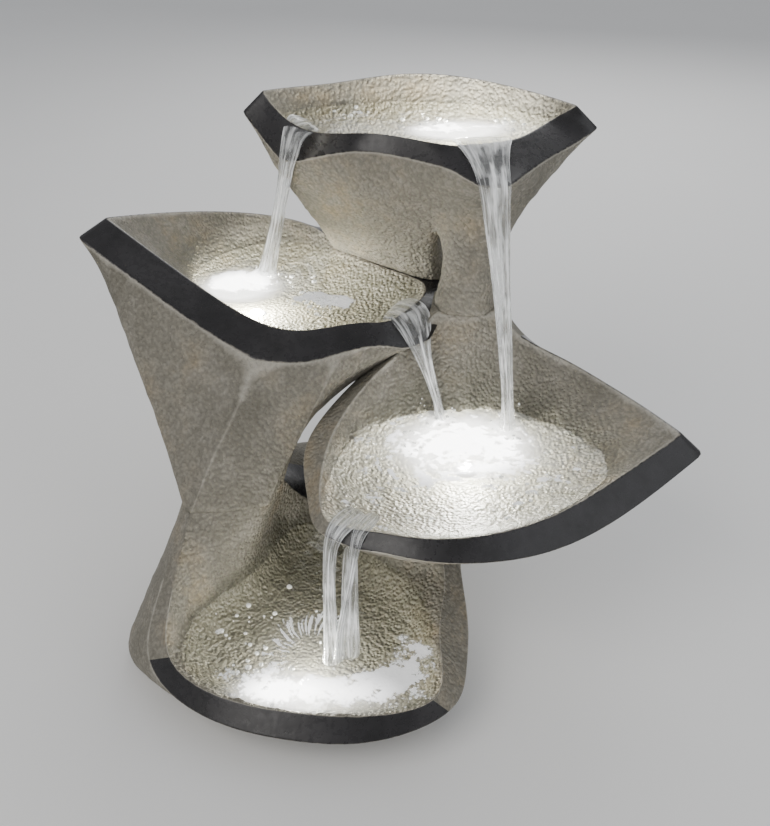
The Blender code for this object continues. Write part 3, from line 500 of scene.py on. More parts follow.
# ------------------------------------------------------------------ left bowl
# The left casting is a tall curved leg that opens into a bowl with a high pointed back. Its broad
# black rim sweeps down along the front, and a folded spout at its right feeds the right bowl.
LEFT_FLOOR = 214.0
LEG_SEAM = 121.3
LEFT_RIBS = [
    ((-10, 148), (22, 140, 234), (33, 143, 241),
     (37, 96, 227), (12, 112, 203), (-66, 82, 165), (-84, 60)),
    ((-10, 164), (24, 168, 234), (37, 172, 241),
     (62, 172, 241), (28, 150, 208), (-68, 104, 168), (-92, 72)),
    ((-20, 176), (6, 182, 234), (14, 190, 241),
     (66, 200, 241), (30, 182, 206), (-62, 122, 166), (-102, 80)),
    ((-36, 190), (-18, 202, 234), (-12, 210, 241),
     (38, 242, 241), (8, 212, 208), (-74, 136, 168), (-112, 85)),
    ((-52, 206), (-42, 228, 234), (-38, 236, 243),
     (-6, 272, 241), (-28, 232, 210), (-90, 146, 170), (-122, 88)),
    ((-68, 216), (-62, 246, 233), (-62, 262, 255),
     (-50, 284, 243), (-62, 246, 214), (-104, 150, 172), (-131, 86)),
    ((-88, 220), (-90, 258, 233), (-92, 277, 258),
     (-94, 296, 245), (-96, 246, 218), (-118, 150, 174), (-139, 82)),
    ((-106, 216), (-118, 254, 233), (-126, 274, 264),
     (-133, 292, 250), (-126, 236, 222), (-132, 142, 175), (-146, 75)),
    ((-120, 204), (-142, 238, 234), (-161, 258, 272),
     (-172, 274, 257), (-156, 216, 226), (-146, 128, 176), (-152, 65)),
    ((-130, 192), (-158, 218, 236), (-191, 232, 281),
     (-206, 244, 266), (-184, 186, 230), (-158, 108, 176), (-157, 52)),
    ((-134, 180), (-168, 200, 240), (-212, 199, 292),
     (-231, 202, 277), (-212, 152, 234), (-178, 88, 175), (-161, 36)),
    ((-134, 168), (-172, 180, 244), (-226, 160, 305),
     (-246, 140, 296), (-222, 112, 240), (-186, 64, 174), (-160, 20)),
    ((-122, 148), (-152, 150, 242), (-178, 137, 278),
     (-190, 105, 271), (-188, 84, 224), (-170, 46, 168), (-158, 14)),
    ((-104, 130), (-122, 120, 238), (-130, 111, 253),
     (-141, 82, 243), (-146, 62, 207), (-149, 36, 164), (-156, 11)),
    ((-84, 118), (-90, 98, 234), (-92, 88, 242),
     (-100, 66, 226), (-112, 48, 196), (-134, 28, 162), (-152, 9)),
    ((-66, 114), (-64, 94, 233), (-62, 84, 241),
     (-64, 63, 223), (-76, 48, 194), (-98, 28, 160), (-122, 9)),
    ((-48, 118), (-38, 104, 233), (-34, 97, 241),
     (-34, 77, 226), (-50, 60, 198), (-74, 36, 158), (-93, 18)),
    ((-32, 124), (-14, 110, 233), (-10, 102, 241),
     (-8, 86, 229), (-34, 76, 208), (-72, 50, 162), (-84, 33)),
    ((-20, 130), (4, 112, 234), (3, 97, 241),
     (19, 92, 221), (-14, 92, 213), (-72, 66, 164), (-82, 47)),
]
left_courses = courses_of(LEFT_FLOOR, LEFT_RIBS, LEG_SEAM)
bm = new_cage(*STONE_MARKS)
rings = build_courses(bm, with_band(left_courses))
bm.faces.new(rings[-1])
dress_rim(bm, rings, BOWL_RIM, range(19), [11])
crease(bm, ring_edges(bm, rings[-1]), 1.0)
mark(bm, [rings[4][0], rings[4][18]], "crease_vert", 0.8)
crease_up(bm, rings[4:], 14, 0.85)
crease_up(bm, rings[4:], 16, 0.55)
# Pale lines down two ridges of the leg: partly rubbed wear, partly a painted highlight.
for rib in (14, 16):
    mark(bm, [ring[rib] for ring in rings[5:]], "edge", 0.96)
mark(bm, rings[0] + rings[1], "wet", 1.0)
tooling(bm, rings, BOWL_RIM, [rings[-1]])
left_bowl = settle(cast("left_bowl_casting", bm, [stone, rim_black], "left_bowl"))

# ------------------------------------------------------------------ top bowl
# The highest casting stands on two stems that part under its floor: a long one that lands on the
# left bowl's shelf and a neck that carries the riser. Two tongues in its black rim let water go.
TOP_FLOOR = 350.0
SHELF_SEAM = 241.3
NECK_SEAM = 240.3
TOP_RIBS = [
    ((100, 186), (128, 186, 368), (150, 181, 389), (169, 180, 371), (137, 168, 341), (104, 158, 310)),
    ((90, 196), (112, 204, 366), (127, 208, 390), (143, 224, 374), (132, 196, 342), (102, 180, 310)),
    ((76, 203), (94, 217, 366), (103, 229, 391), (112, 247, 375), (112, 218, 343), (98, 200, 310)),
    ((52, 210), (62, 231, 366), (67, 245, 395), (72, 262, 378), (78, 236, 345), (80, 212, 308)),
    ((22, 213), (22, 237, 366), (26, 250, 397), (26, 267, 380), (34, 242, 346), (52, 222, 306)),
    ((-6, 211), (-12, 233, 366), (-10, 244, 395), (-14, 261, 378), (-8, 240, 345), (20, 232, 304)),
    ((-26, 205), (-42, 223, 366), (-46, 235, 391), (-52, 252, 375), (-42, 234, 343), (-15, 240, 302)),
    ((-42, 199), (-64, 212, 366), (-80, 226, 391), (-92, 243, 375), (-80, 228, 342), (-56, 238, 300)),
    ((-48, 194), (-76, 203, 366), (-99, 212, 392), (-117, 212, 375), (-104, 204, 344), (-80, 220, 300)),
    ((-44, 187), (-70, 190, 364), (-83, 197, 374), (-86, 190, 342), (-84, 192, 328), (-70, 202, 302)),
    ((-30, 178), (-46, 164, 364), (-55, 150, 376), (-70, 177, 345), (-62, 176, 332), (-45, 186, 304)),
    ((-12, 176), (-26, 163, 364), (-32, 152, 376), (-34, 149, 363), (-34, 152, 338), (-18, 166, 306)),
    ((10, 176), (2, 163, 364), (-2, 154, 376), (-2, 146, 364), (0, 138, 340), (14, 150, 308)),
    ((38, 166), (38, 140, 364), (40, 124, 376), (48, 108, 363), (34, 126, 340), (41, 143, 310)),
    ((56, 166), (60, 140, 364), (62, 128, 374), (68, 90, 356), (64, 112, 338), (62, 132, 306)),
    ((74, 168), (84, 146, 364), (86, 134, 374), (91, 90, 356), (92, 110, 338), (84, 122, 308)),
    ((86, 173), (100, 156, 364), (106, 144, 376), (118, 128, 362), (110, 124, 340), (94, 126, 308)),
    ((96, 180), (118, 176, 366), (131, 184, 377), (147, 160, 364), (128, 146, 341), (101, 140, 308)),
]
TOP_CROTCH = ((45, 168, 288), (49, 196, 288))
TOP_LEFT_STEM = [
    ((50, 212, 276), (24, 232, 274), (-8, 248, 272), (-40, 250, 270), (-64, 238, 270), (-58, 226, 270),
     (-36, 212, 270), (-12, 192, 271), (16, 172, 273), (41, 158, 276), (46, 175, 276), (50, 194, 276)),
    ((56, 204), (34, 228), (6, 252), (-22, 264), (-46, 256), (-50, 242),
     (-30, 229), (-8, 210), (14, 192), (36, 175), (49, 176), (57, 188)),
]
TOP_NECK = [
    ((50, 124, 276), (58, 114, 274), (72, 111, 272), (83, 115, 272), (88, 126, 272), (90, 141, 272),
     (88, 155, 272), (82, 166, 272), (74, 170, 273), (60, 166, 275), (52, 154, 277), (48, 139, 277)),
    ((42, 122), (52, 113), (68, 110), (82, 114), (89, 126), (92, 142),
     (90, 157), (82, 168), (70, 171), (54, 167), (44, 155), (39, 138)),
]
top_courses = [[put(p) for p in course] for course in zip(
    *[[(*rib[0], TOP_FLOOR), *rib[1:]] for rib in TOP_RIBS])]
bm = new_cage(*STONE_MARKS)
rings = build_courses(bm, with_band(top_courses))
waist = rings[-1]
crotch = [bm.verts.new(put(p)) for p in TOP_CROTCH]
bm.edges.new((waist[13], crotch[0]))
bm.edges.new((crotch[0], crotch[1]))
bm.edges.new((crotch[1], waist[4]))
stem = next_course(bm, waist[4:14] + crotch, [put(p) for p in TOP_LEFT_STEM[0]])
shelf = next_course(bm, stem, [put((*p, SHELF_SEAM)) for p in TOP_LEFT_STEM[1]])
neck = next_course(bm, waist[13:18] + waist[0:5] + crotch[::-1], [put(p) for p in TOP_NECK[0]])
neck_foot = next_course(bm, neck, [put((*p, NECK_SEAM)) for p in TOP_NECK[1]])
bm.faces.new(shelf)
bm.faces.new(neck_foot)
dress_rim(bm, rings, BOWL_RIM, range(18), [0, 8])
crease(bm, ring_edges(bm, shelf) + ring_edges(bm, neck_foot), 1.0)
mark(bm, [rings[4][9], rings[4][10], rings[4][14], rings[4][15]], "crease_vert", 0.8)
crease_up(bm, rings[4:], 13, 0.45)
mark(bm, rings[0] + rings[1], "wet", 1.0)
tooling(bm, rings, BOWL_RIM, [shelf, neck_foot])
top_bowl = settle(cast("top_bowl_casting", bm, [stone, rim_black], "top_bowl"))

# ------------------------------------------------------------------ water in the pools
# Each pool is one closed body of water that fills its bowl to the waterline. Its surface is stirred
# by what falls into it and carries thin foam; a painted glow, emission on the water, sits over each lamp.
WATER_LEVELS = {"basin": 50.0, "right": 165.0, "left": 240.2, "top": 375.2}
SHEET_LEVEL = 4
INWARD = (0.86, 0.70, 0.53, 0.36, 0.20, 0.08)


def water_look(name, tint, haze):
    """Clear water that mirrors at a slant, with white foam and a milky glow over its lamp; the glow and a faint glow
    in the foam are painted light.
    """
    look, tree, shader, at = new_look(name)
    foam = add(tree, "ShaderNodeAttribute", attribute_name="foam").outputs["Fac"]
    glow = add(tree, "ShaderNodeAttribute", attribute_name="glow").outputs["Fac"]
    fine = mottle(tree, at, 420.0, 3.0, 0.65)
    cells = add(tree, "ShaderNodeTexVoronoi", {"Vector": at, "Scale": 330.0}).outputs["Distance"]
    froth = sums(tree, "ADD", foam, span(tree, fine, 0.25, 0.75, -0.16, 0.16))
    froth = sums(tree, "ADD", froth, span(tree, cells, 0.0, 0.6, 0.10, -0.12))
    white = span(tree, froth, 0.42, 0.60)
    veil = span(tree, mottle(tree, at, 60.0, 4.0, 0.6), 0.35, 0.7, haze * 0.6, haze * 1.5)
    # Near the lamp the water turns milky and opaque: part of the painted glow.
    body = sums(tree, "MAXIMUM", sums(tree, "MAXIMUM", white, veil), span(tree, glow, 0.05, 0.75, 0.0, 0.9))
    tone = mixed(tree, white, tint, (0.84, 0.85, 0.83, 1))
    # Emission: a painted glow over each lamp, strongest in the foam, and a faint painted glow in all white foam.
    light = sums(tree, "MULTIPLY", sums(tree, "POWER", glow, 1.6), span(tree, white, 0.0, 1.0, 4.0, 8.0))
    light = sums(tree, "MAXIMUM", light, span(tree, white, 0.0, 1.0, 0.0, 0.42))
    ripple = raised(tree, fine, 0.0006, 0.35)
    feed(tree, shader, {
        "Base Color": tone,
        "Roughness": span(tree, white, 0.0, 1.0, 0.06, 0.42),
        "Normal": raised(tree, cells, 0.0008, 0.25, ripple),
        "Emission Color": mixed(tree, span(tree, glow, 0.1, 0.7), (0.93, 0.93, 0.97, 1), (1.0, 0.99, 0.97, 1)),
        "Emission Strength": light,
        "Specular IOR Level": 0.5,
    })
    through = add(tree, "ShaderNodeBsdfTransparent", {"Color": (0.93, 0.94, 0.90, 1.0)})
    mirror = add(tree, "ShaderNodeBsdfGlossy", {"Roughness": 0.04, "Normal": ripple})
    slant = add(tree, "ShaderNodeFresnel", {"IOR": 1.33, "Normal": ripple})
    clear = add(tree, "ShaderNodeMixShader", {0: slant.outputs[0], 1: through.outputs[0], 2: mirror.outputs[0]})
    whole = add(tree, "ShaderNodeMixShader", {0: body, 1: clear.outputs[0], 2: shader.outputs[0]})
    tree.links.new(whole.outputs[0], tree.nodes["Material Output"].inputs["Surface"])
    return look


def shoreline(ribs, courses, level):
    """Where the water meets the inner wall, rib by rib, and whether the wall stands clear of it."""
    line = []
    for i in range(len(ribs)):
        low, high = courses[1][i], courses[2][i]
        if high.z <= level:
            line.append((Vector((high.x, high.y, max(high.z - 0.0004, level - 0.003))), False))
            continue
        share = max(0.0, (level - low.z) / (high.z - low.z))
        line.append((low.lerp(high, share), high.z - level > 0.004))
    return line


def pool_body(name, ribs, courses, level, centre):
    """A closed cage of water: bottom and sides inside the stone, rings closing in on the surface."""
    level = level / 1000
    centre = put((*centre, 0))
    centre.z = level
    shore = []
    under = []
    floor = []
    for (place, clear), low, bottom in zip(shoreline(ribs, courses, level), courses[1], courses[0]):
        out = (place - centre).xy.normalized().to_3d()
        shore.append(place + out * (0.003 if clear else 0.0))
        under.append(low + out * 0.003 - Vector((0, 0, 0.003)))
        floor.append(bottom + out * 0.002 - Vector((0, 0, 0.003)))
    bm = new_cage("top")
    stack = [floor, under, shore]
    stack += [[centre.lerp(Vector((p.x, p.y, level)), share) for p in shore] for share in INWARD]
    rings = build_courses(bm, stack)
    bm.faces.new(rings[-1])
    for ring in rings[2:]:
        mark(bm, ring, "top", 1.0)
    crease(bm, ring_edges(bm, rings[2]), 1.0)
    bmesh.ops.recalc_face_normals(bm, faces=bm.faces)
    piece = new_piece(name, bm, [])
    refine(piece, SHEET_LEVEL)
    return settle(piece)


def stirred(at, landings, chop):
    """Height of the disturbed surface: a dent and rings at each landing, and wind-free chop."""
    rise = chop * (noise.noise(at * 0.055) + 0.55 * noise.noise(at * 0.13 + Vector((7, 3, 1))))
    for x, y, strength in landings:
        away = math.hypot(at.x - x, at.y - y)
        rise += strength * math.exp(-away / 24) * math.cos(away / 1.9 + 0.6 * noise.noise(at * 0.05))
        rise += strength * 0.9 * math.exp(-((away - 8) / 4) ** 2)
    return rise


def float_attribute(mesh, label, values):
    layer = mesh.attributes.get(label) or mesh.attributes.new(label, "FLOAT", "POINT")
    layer.data.foreach_set("value", values)


def blob(at, x, y, radius, squash=1.0):
    return math.exp(-(((at.x - x) / radius) ** 2 + ((at.y - y) / (radius * squash)) ** 2))


def pool(name, ribs, courses, key, centre, landings, chop, foam, glow, look):
    """Stirs a pool's surface, lays its foam and its painted glow, and fixes it to the fountain."""
    piece = pool_body(name, ribs, courses, WATER_LEVELS[key], centre)
    mesh = piece.data
    tops = mesh.attributes["top"].data
    foams = []
    painted_glows = []
    for corner, top in zip(mesh.vertices, tops):
        at = Vector((corner.co.x * 1000 + DRAWING_X, corner.co.y * 1000 + DRAWING_Y, 0))
        if top.value < 0.999:
            foams.append(0.0)
            painted_glows.append(0.0)
            continue
        froth = foam(at)
        foams.append(max(0.0, min(1.0, froth)))
        painted_glows.append(min(1.0, glow(at)))
        rise = stirred(at, landings, chop) + 0.5 * max(0.0, min(1.0, (froth - 0.4) * 4))
        corner.co.z += rise / 1000
    float_attribute(mesh, "foam", foams)
    float_attribute(mesh, "glow", painted_glows)
    mesh.materials.append(look)
    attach(piece, "fountain")
    return piece


def warped(at, scale, amount):
    """A place pushed about by noise, for ragged outlines."""
    push = noise.noise_vector(at * scale) * amount
    return Vector((at.x + push.x, at.y + push.y, 0))


water = water_look("pool_water", (0.30, 0.29, 0.22, 1), 0.13)
bright_water = water_look("churned_water", (0.46, 0.45, 0.38, 1), 0.32)


def basin_foam(at):
    """Feathers fan out left of the falling water, and thick foam drifts along the front."""
    near = warped(at, 0.06, 9)
    fan = math.hypot(at.x + 50, at.y + 70)
    turn = math.atan2(at.y + 70, at.x + 50)
    curl = turn + 0.012 * fan
    barbs = 0.5 + 0.9 * noise.noise(Vector((curl * 11, fan * 0.035, 2))) + 0.5 * noise.noise(Vector((curl * 23, fan * 0.05, 8)))
    feather = max(0.0, barbs) * math.exp(-((fan - 30) / 20) ** 2) * (0.55 + 0.45 * math.cos(turn - 2.4)) * 1.15
    drift = 0.95 * blob(near, -82, -104, 26, 0.8) + 0.8 * blob(near, -30, -108, 34, 0.5)
    drift += 0.75 * blob(near, 10, -96, 26, 1.1) + 0.55 * blob(near, -118, -88, 13)
    drift += 0.45 * blob(near, 24, -62, 17, 1.6)
    holes = 0.55 * noise.noise(at * 0.085) + 0.35 * noise.noise(at * 0.21)
    return max(feather, drift + holes * drift)


# Painted glow of the basin's water over its lamp.
def basin_painted_glow(at):
    return 0.85 * blob(at, -78, -108, 30, 0.55) + 0.45 * blob(at, -30, -112, 42, 0.45) + 0.3 * blob(at, -60, -80, 55)


def right_foam(at):
    """White water at the lamp, broken ripples to the right, and threads that curve to the lip."""
    near = warped(at, 0.05, 12)
    swirl = 0.85 * blob(near, 62, 46, 38, 0.75) + 0.4 * blob(near, 2, 54, 20, 1.3)
    away = math.hypot(at.x - 60, at.y - 22)
    turn = math.atan2(at.y - 22, at.x - 60)
    threads = 0.75 * noise.noise(Vector((away * 0.19, turn * 1.4, 3)))
    bank = 0.30 * blob(near, 10, -8, 52, 1.2) + 0.50 * blob(near, 98, 4, 56, 0.8)
    grain = 0.50 * noise.noise(at * 0.075) + 0.38 * noise.noise(Vector((at.x * 0.12, at.y * 0.26, 0)))
    return swirl + bank + grain + threads * (0.35 + 0.65 * blob(near, 6, 4, 60))


# Painted glow of the right bowl's water over its lamp.
def right_painted_glow(at):
    return 1.6 * blob(at, 62, 40, 45, 0.86) + 0.26 * blob(at, 58, 20, 76, 0.85)


def left_foam(at):
    near = warped(at, 0.07, 8)
    patch = 1.3 * blob(near, -58, 146, 20, 0.5) + 1.1 * blob(near, -36, 136, 13, 0.8)
    fall = 0.95 * blob(near, -112, 180, 26, 0.8) + 0.8 * blob(near, -134, 172, 20)
    specks = noise.noise(at * 0.2 + Vector((1, 5, 0)))
    specks = 0.7 if specks > 0.62 and -100 < at.x < -40 else 0.0
    holes = 0.4 * noise.noise(at * 0.12)
    return max(patch + holes * patch, fall + holes * fall, specks)


# Painted glow of the left bowl's water over its lamp.
def left_painted_glow(at):
    return 1.4 * blob(at, -126, 164, 27, 1.0) + 0.36 * blob(at, -106, 166, 46, 0.9)


def top_foam(at):
    near = warped(at, 0.07, 7)
    drift = 0.8 * blob(near, 46, 166, 30, 0.5) + 0.5 * blob(near, -20, 205, 26, 0.5)
    drift += 0.5 * blob(near, 96, 176, 18)
    return drift * (1 + 0.7 * noise.noise(at * 0.12)) + 0.12 * noise.noise(at * 0.3)


# Painted glow of the top bowl's water over its lamp.
def top_painted_glow(at):
    return 1.5 * blob(at, 52, 159, 30, 0.62) + 0.45 * blob(at, 70, 172, 50, 0.7)


pool("basin_water", BASIN_RIBS, basin_courses, "basin", (-50, -34),
     [(-39, -75, 1.6), (-36, -76, 0.8)], 0.7, basin_foam, basin_painted_glow, water)
pool("right_water", RIGHT_RIBS, right_courses, "right", (52, 4),
     [(98, 64, 1.9), (45, 79, 1.4)], 1.5, right_foam, right_painted_glow, bright_water)
pool("left_water", LEFT_RIBS, left_courses, "left", (-72, 172),
     [(-102, 190, 1.6)], 0.35, left_foam, left_painted_glow, water)
pool("top_water", TOP_RIBS, top_courses, "top", (34, 190),
     [(31, 190, 0.7)], 0.35, top_foam, top_painted_glow, water)

# ------------------------------------------------------------------ falling water
# A film slides over each spout, gathers at its tip and drops as a twisted rope of water that
# opens a little where it lands. It is glassy, with white threads where air is caught in it.
STREAM_SIDES = 24
FLOW_STRETCH = 9.0


def stream_look(name, threads):
    """Glassy water with long white threads that follow the flow, thickening as it falls; the threads glow faintly,
    painted light.
    """
    look, tree, shader, at = new_look(name)
    side = add(tree, "ShaderNodeAttribute", attribute_name="side").outputs["Fac"]
    front = add(tree, "ShaderNodeAttribute", attribute_name="front").outputs["Fac"]
    along = add(tree, "ShaderNodeAttribute", attribute_name="along").outputs["Fac"]
    drawn = add(tree, "ShaderNodeCombineXYZ", {"X": side, "Y": front, "Z": along}).outputs[0]
    strands = mottle(tree, drawn, 3.2, 3.0, 0.55)
    broken = mottle(tree, at, 55.0, 2.0)
    air = sums(tree, "ADD", strands, span(tree, broken, 0.3, 0.7, -0.07, 0.07))
    caught = span(tree, along, 0.05, 0.5, 0.45, 1.0)
    white = sums(tree, "MULTIPLY", span(tree, air, 0.44, 0.66, 0.12, threads), caught)
    feed(tree, shader, {
        "Base Color": (0.88, 0.89, 0.88, 1),
        "Roughness": span(tree, strands, 0.3, 0.7, 0.12, 0.32),
        # The white threads glow faintly: painted light.
        "Emission Color": (0.96, 0.97, 1.0, 1),
        "Emission Strength": span(tree, air, 0.46, 0.70, 0.0, 0.35),
        "Normal": raised(tree, strands, 0.0010, 0.5),
    })
    glass = add(tree, "ShaderNodeBsdfPrincipled", {
        "Base Color": (0.97, 0.98, 0.97, 1), "Roughness": 0.03, "IOR": 1.33, "Transmission Weight": 1.0,
        "Normal": raised(tree, strands, 0.0008, 0.4)})
    whole = add(tree, "ShaderNodeMixShader", {0: white, 1: glass.outputs[0], 2: shader.outputs[0]})
    tree.links.new(whole.outputs[0], tree.nodes["Material Output"].inputs["Surface"])
    return look


def section_ring(at, ahead, heading, width, thick, lobes, twist):
    """Places round one cross-section: an ellipse across the flow with a few twisting lobes."""
    across = Vector((math.cos(heading), math.sin(heading), 0))
    across = (across - ahead * across.dot(ahead)).normalized()
    proud = ahead.cross(across)
    places = []
    for k in range(STREAM_SIDES):
        turn = 2 * math.pi * k / STREAM_SIDES
        swell = 1 + lobes * math.cos(3 * turn + twist)
        places.append(at + across * (math.cos(turn) * width * swell / 2)
                      + proud * (math.sin(turn) * thick * swell / 2))
    return places


def stream(name, sections, lobes, look):
    """Lofts a stream through (x, y, z, width, thickness, heading) sections of the drawing."""
    centres = [put(s[:3]) for s in sections]
    stack = []
    for i, (at, s) in enumerate(zip(centres, sections)):
        ahead = (centres[min(i + 1, len(centres) - 1)] - centres[max(i - 1, 0)]).normalized()
        share = i / (len(sections) - 1)
        stack.append(section_ring(at, ahead, math.radians(s[5]), s[3] / 1000, s[4] / 1000,
                                  lobes * share, share * 7))
    bm = new_cage("side", "front", "along")
    rings = build_courses(bm, stack)
    bm.faces.new(rings[-1])
    run = 0.0
    for i, ring in enumerate(rings):
        run += (centres[i] - centres[max(i - 1, 0)]).length * FLOW_STRETCH
        mark(bm, ring, "along", run)
        for k, corner in enumerate(ring):
            mark(bm, [corner], "side", math.cos(2 * math.pi * k / STREAM_SIDES))
            mark(bm, [corner], "front", math.sin(2 * math.pi * k / STREAM_SIDES))
    bmesh.ops.recalc_face_normals(bm, faces=bm.faces)
    piece = new_piece(name, bm, [look])
    refine(piece, 2)
    sway = piece.modifiers.new("sway", "DISPLACE")
    sway.texture = bpy.data.textures.get("sway") or bpy.data.textures.new("sway", "CLOUDS")
    sway.texture.noise_scale = 0.018
    sway.texture_coords = "LOCAL"
    sway.strength = 0.0007
    settle(piece)
    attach(piece, "fountain")
    return piece


falling = stream_look("falling_water", 0.80)
stream("top_left_fall", (
    (-56, 180, 374.4, 42, 1.6, 121), (-64, 176, 375.6, 44, 2.0, 121), (-70.5, 175, 373.5, 38, 2.0, 122),
    (-74.6, 178, 361, 28, 2.2, 128), (-78.6, 182, 347, 17.5, 3.0, 138), (-81, 184, 335, 13.5, 4.0, 150),
    (-85, 186, 315, 11, 5.0, 160), (-90, 187.5, 292, 10.5, 5.5, 170), (-95.5, 189, 268, 12, 6, 178),
    (-100, 190, 249, 14, 7.5, 180), (-101.5, 190, 242, 17, 10, 180), (-102, 190, 237, 19, 12, 180)), 0.16, falling)
stream("top_right_fall", (
    (72, 148, 374.4, 46, 1.6, 12), (73, 134, 375.8, 46, 2.0, 12), (75, 122, 373, 36, 2.0, 8),
    (77.5, 106, 366, 27, 2.2, 4), (79.8, 90.5, 357, 24, 3.2, 2), (81, 86, 346, 21, 4.6, 0),
    (83, 82, 325, 18, 5.5, 0), (86, 77.5, 298, 15, 6, 2), (89, 73, 268, 12.5, 6, 6),
    (92.5, 69, 234, 11, 6, 10), (95.5, 66, 200, 9.5, 6, 16), (97.5, 64.5, 175, 10, 7, 20),
    (98, 64, 167, 14, 10, 20), (98, 64, 161, 17, 13, 20)), 0.14, falling)
stream("left_spout_fall", (
    (4, 126, 239.8, 46, 1.6, 57), (14, 122, 241.6, 48, 2.0, 57), (20, 116, 240.5, 42, 2.0, 52),
    (24.6, 106, 233, 31, 2.2, 40), (28.5, 95, 225, 19, 2.6, 16), (31, 91, 216, 13, 3.2, 8),
    (35, 88, 203, 9, 3.6, 4), (39, 84.5, 189, 7.5, 3.6, 20), (43, 81, 175, 8, 4.2, 50),
    (45, 79.3, 167, 11, 6, 60), (45.5, 79, 161, 13, 8, 60)), 0.30, falling)
stream("right_lip_fall", (
    (-18, -42, 165.2, 20, 1.6, -20), (-27, -53, 165.6, 20, 2.0, -22), (-34, -62, 163, 16, 2.4, -26),
    (-37.5, -67.5, 156, 12, 3.0, -28), (-38.8, -70, 146, 10, 4.0, -24), (-39.6, -72, 126, 9, 4.6, -15),
    (-39.8, -73.5, 100, 9.5, 5, -5), (-39.6, -74.6, 75, 11, 6, 0), (-39.4, -75, 57, 13, 8, 0),
    (-39.4, -75, 51, 16, 11, 0), (-39.4, -75, 46, 18, 13, 0)), 0.18, falling)
stream("right_lip_thread", (
    (-6, -46, 165.2, 12, 1.6, -20), (-13, -58, 165.5, 12, 2.0, -16), (-18.5, -66.5, 163.5, 10, 2.2, -14),
    (-20.6, -71.5, 156, 8, 2.6, -14), (-22, -73.5, 145, 6, 3.2, -10), (-26, -75.5, 120, 5, 3.6, 0),
    (-30.5, -76.5, 96, 4.6, 3.6, 10), (-34, -77, 74, 5.5, 4, 20), (-35.5, -77, 56, 8, 6, 20),
    (-36, -77, 47, 11, 9, 20)), 0.22, falling)
stream("right_lip_veil", (
    (-24, -69.5, 155, 10, 1.0, -20), (-24.5, -73, 145, 11, 1.0, -14), (-25, -74.5, 120, 12, 1.0, -8),
    (-25.5, -75.3, 92, 13, 1.2, 0), (-26, -75.8, 66, 14, 1.6, 0), (-26, -76, 48, 16, 2.6, 0)), 0.05, falling)

# ------------------------------------------------------------------ bubbles and splashes
# Air beaten in by the falling water floats as loose bubbles, and drops leap round each landing.
random.seed(7)


def ball(bm, at, radius, flat=1.0):
    shape = Matrix.Translation(at) @ Matrix.Diagonal((radius, radius, radius * flat, 1.0))
    bmesh.ops.create_icosphere(bm, subdivisions=2, radius=1.0, matrix=shape)


bubble_look, tree, shader, at = new_look("floating_bubbles")
film_shift = mottle(tree, at, 700.0, 2.0)
feed(tree, shader, {
    "Base Color": mixed(tree, film_shift, (0.80, 0.82, 0.80, 1), (0.92, 0.92, 0.90, 1)),
    "Roughness": span(tree, film_shift, 0.3, 0.7, 0.05, 0.18),
    # The bubbles and the drops glow faintly: painted light.
    "Emission Color": (1.0, 0.99, 0.96, 1),
    "Emission Strength": span(tree, film_shift, 0.4, 0.7, 0.05, 0.35),
    "Alpha": span(tree, film_shift, 0.3, 0.7, 0.45, 0.85),
})
RAFTS = {
    "basin": (50.3, ((-112, -40, 26, 16), (-100, -74, 20, 12), (-60, -20, 30, 5), (-84, -100, 22, 16))),
    "left": (240.8, ((-66, 146, 17, 34), (-46, 136, 10, 22), (-80, 176, 22, 12), (-56, 118, 14, 8))),
    "right": (165.8, ((96, 62, 20, 22), (44, 78, 18, 20), (4, 40, 26, 26), (88, -30, 34, 18))),
    "top": (375.6, ((30, 190, 20, 12), (-24, 206, 18, 12), (100, 176, 16, 10))),
}
for key, (level, rafts) in RAFTS.items():
    bm = bmesh.new()
    for x, y, reach, count in rafts:
        for _ in range(count):
            turn = random.uniform(0, 2 * math.pi)
            away = reach * math.sqrt(random.random())
            size = random.uniform(0.5, 1.1) ** 2 * 2.0
            at = put((x + away * math.cos(turn), y + away * math.sin(turn), level))
            ball(bm, at, size / 1000, 0.6)
    bubbles = new_piece("bubbles_" + key, bm, [bubble_look])
    bubbles.data.shade_smooth()
    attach(bubbles, "fountain")

SPLASHES = {
    "basin": (-38, -75, 50, 34, 14),
    "left": (-102, 190, 240, 24, 12),
    "right_back": (98, 64, 165, 26, 14),
    "right_near": (45, 79, 165, 18, 10),
}
for key, (x, y, level, height, count) in SPLASHES.items():
    bm = bmesh.new()
    for _ in range(count):
        turn = random.uniform(0, 2 * math.pi)
        away = random.uniform(5, 19)
        lift = height * random.random() ** 2.2 * math.exp(-((away - 11) / 9) ** 2) + 0.8
        at = put((x + away * math.cos(turn), y + away * math.sin(turn), level + lift))
        ball(bm, at, random.uniform(0.35, 1.0) / 1000, 1.25)
    drops = new_piece("drops_" + key, bm, [bubble_look])
    drops.data.shade_smooth()
    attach(drops, "fountain")

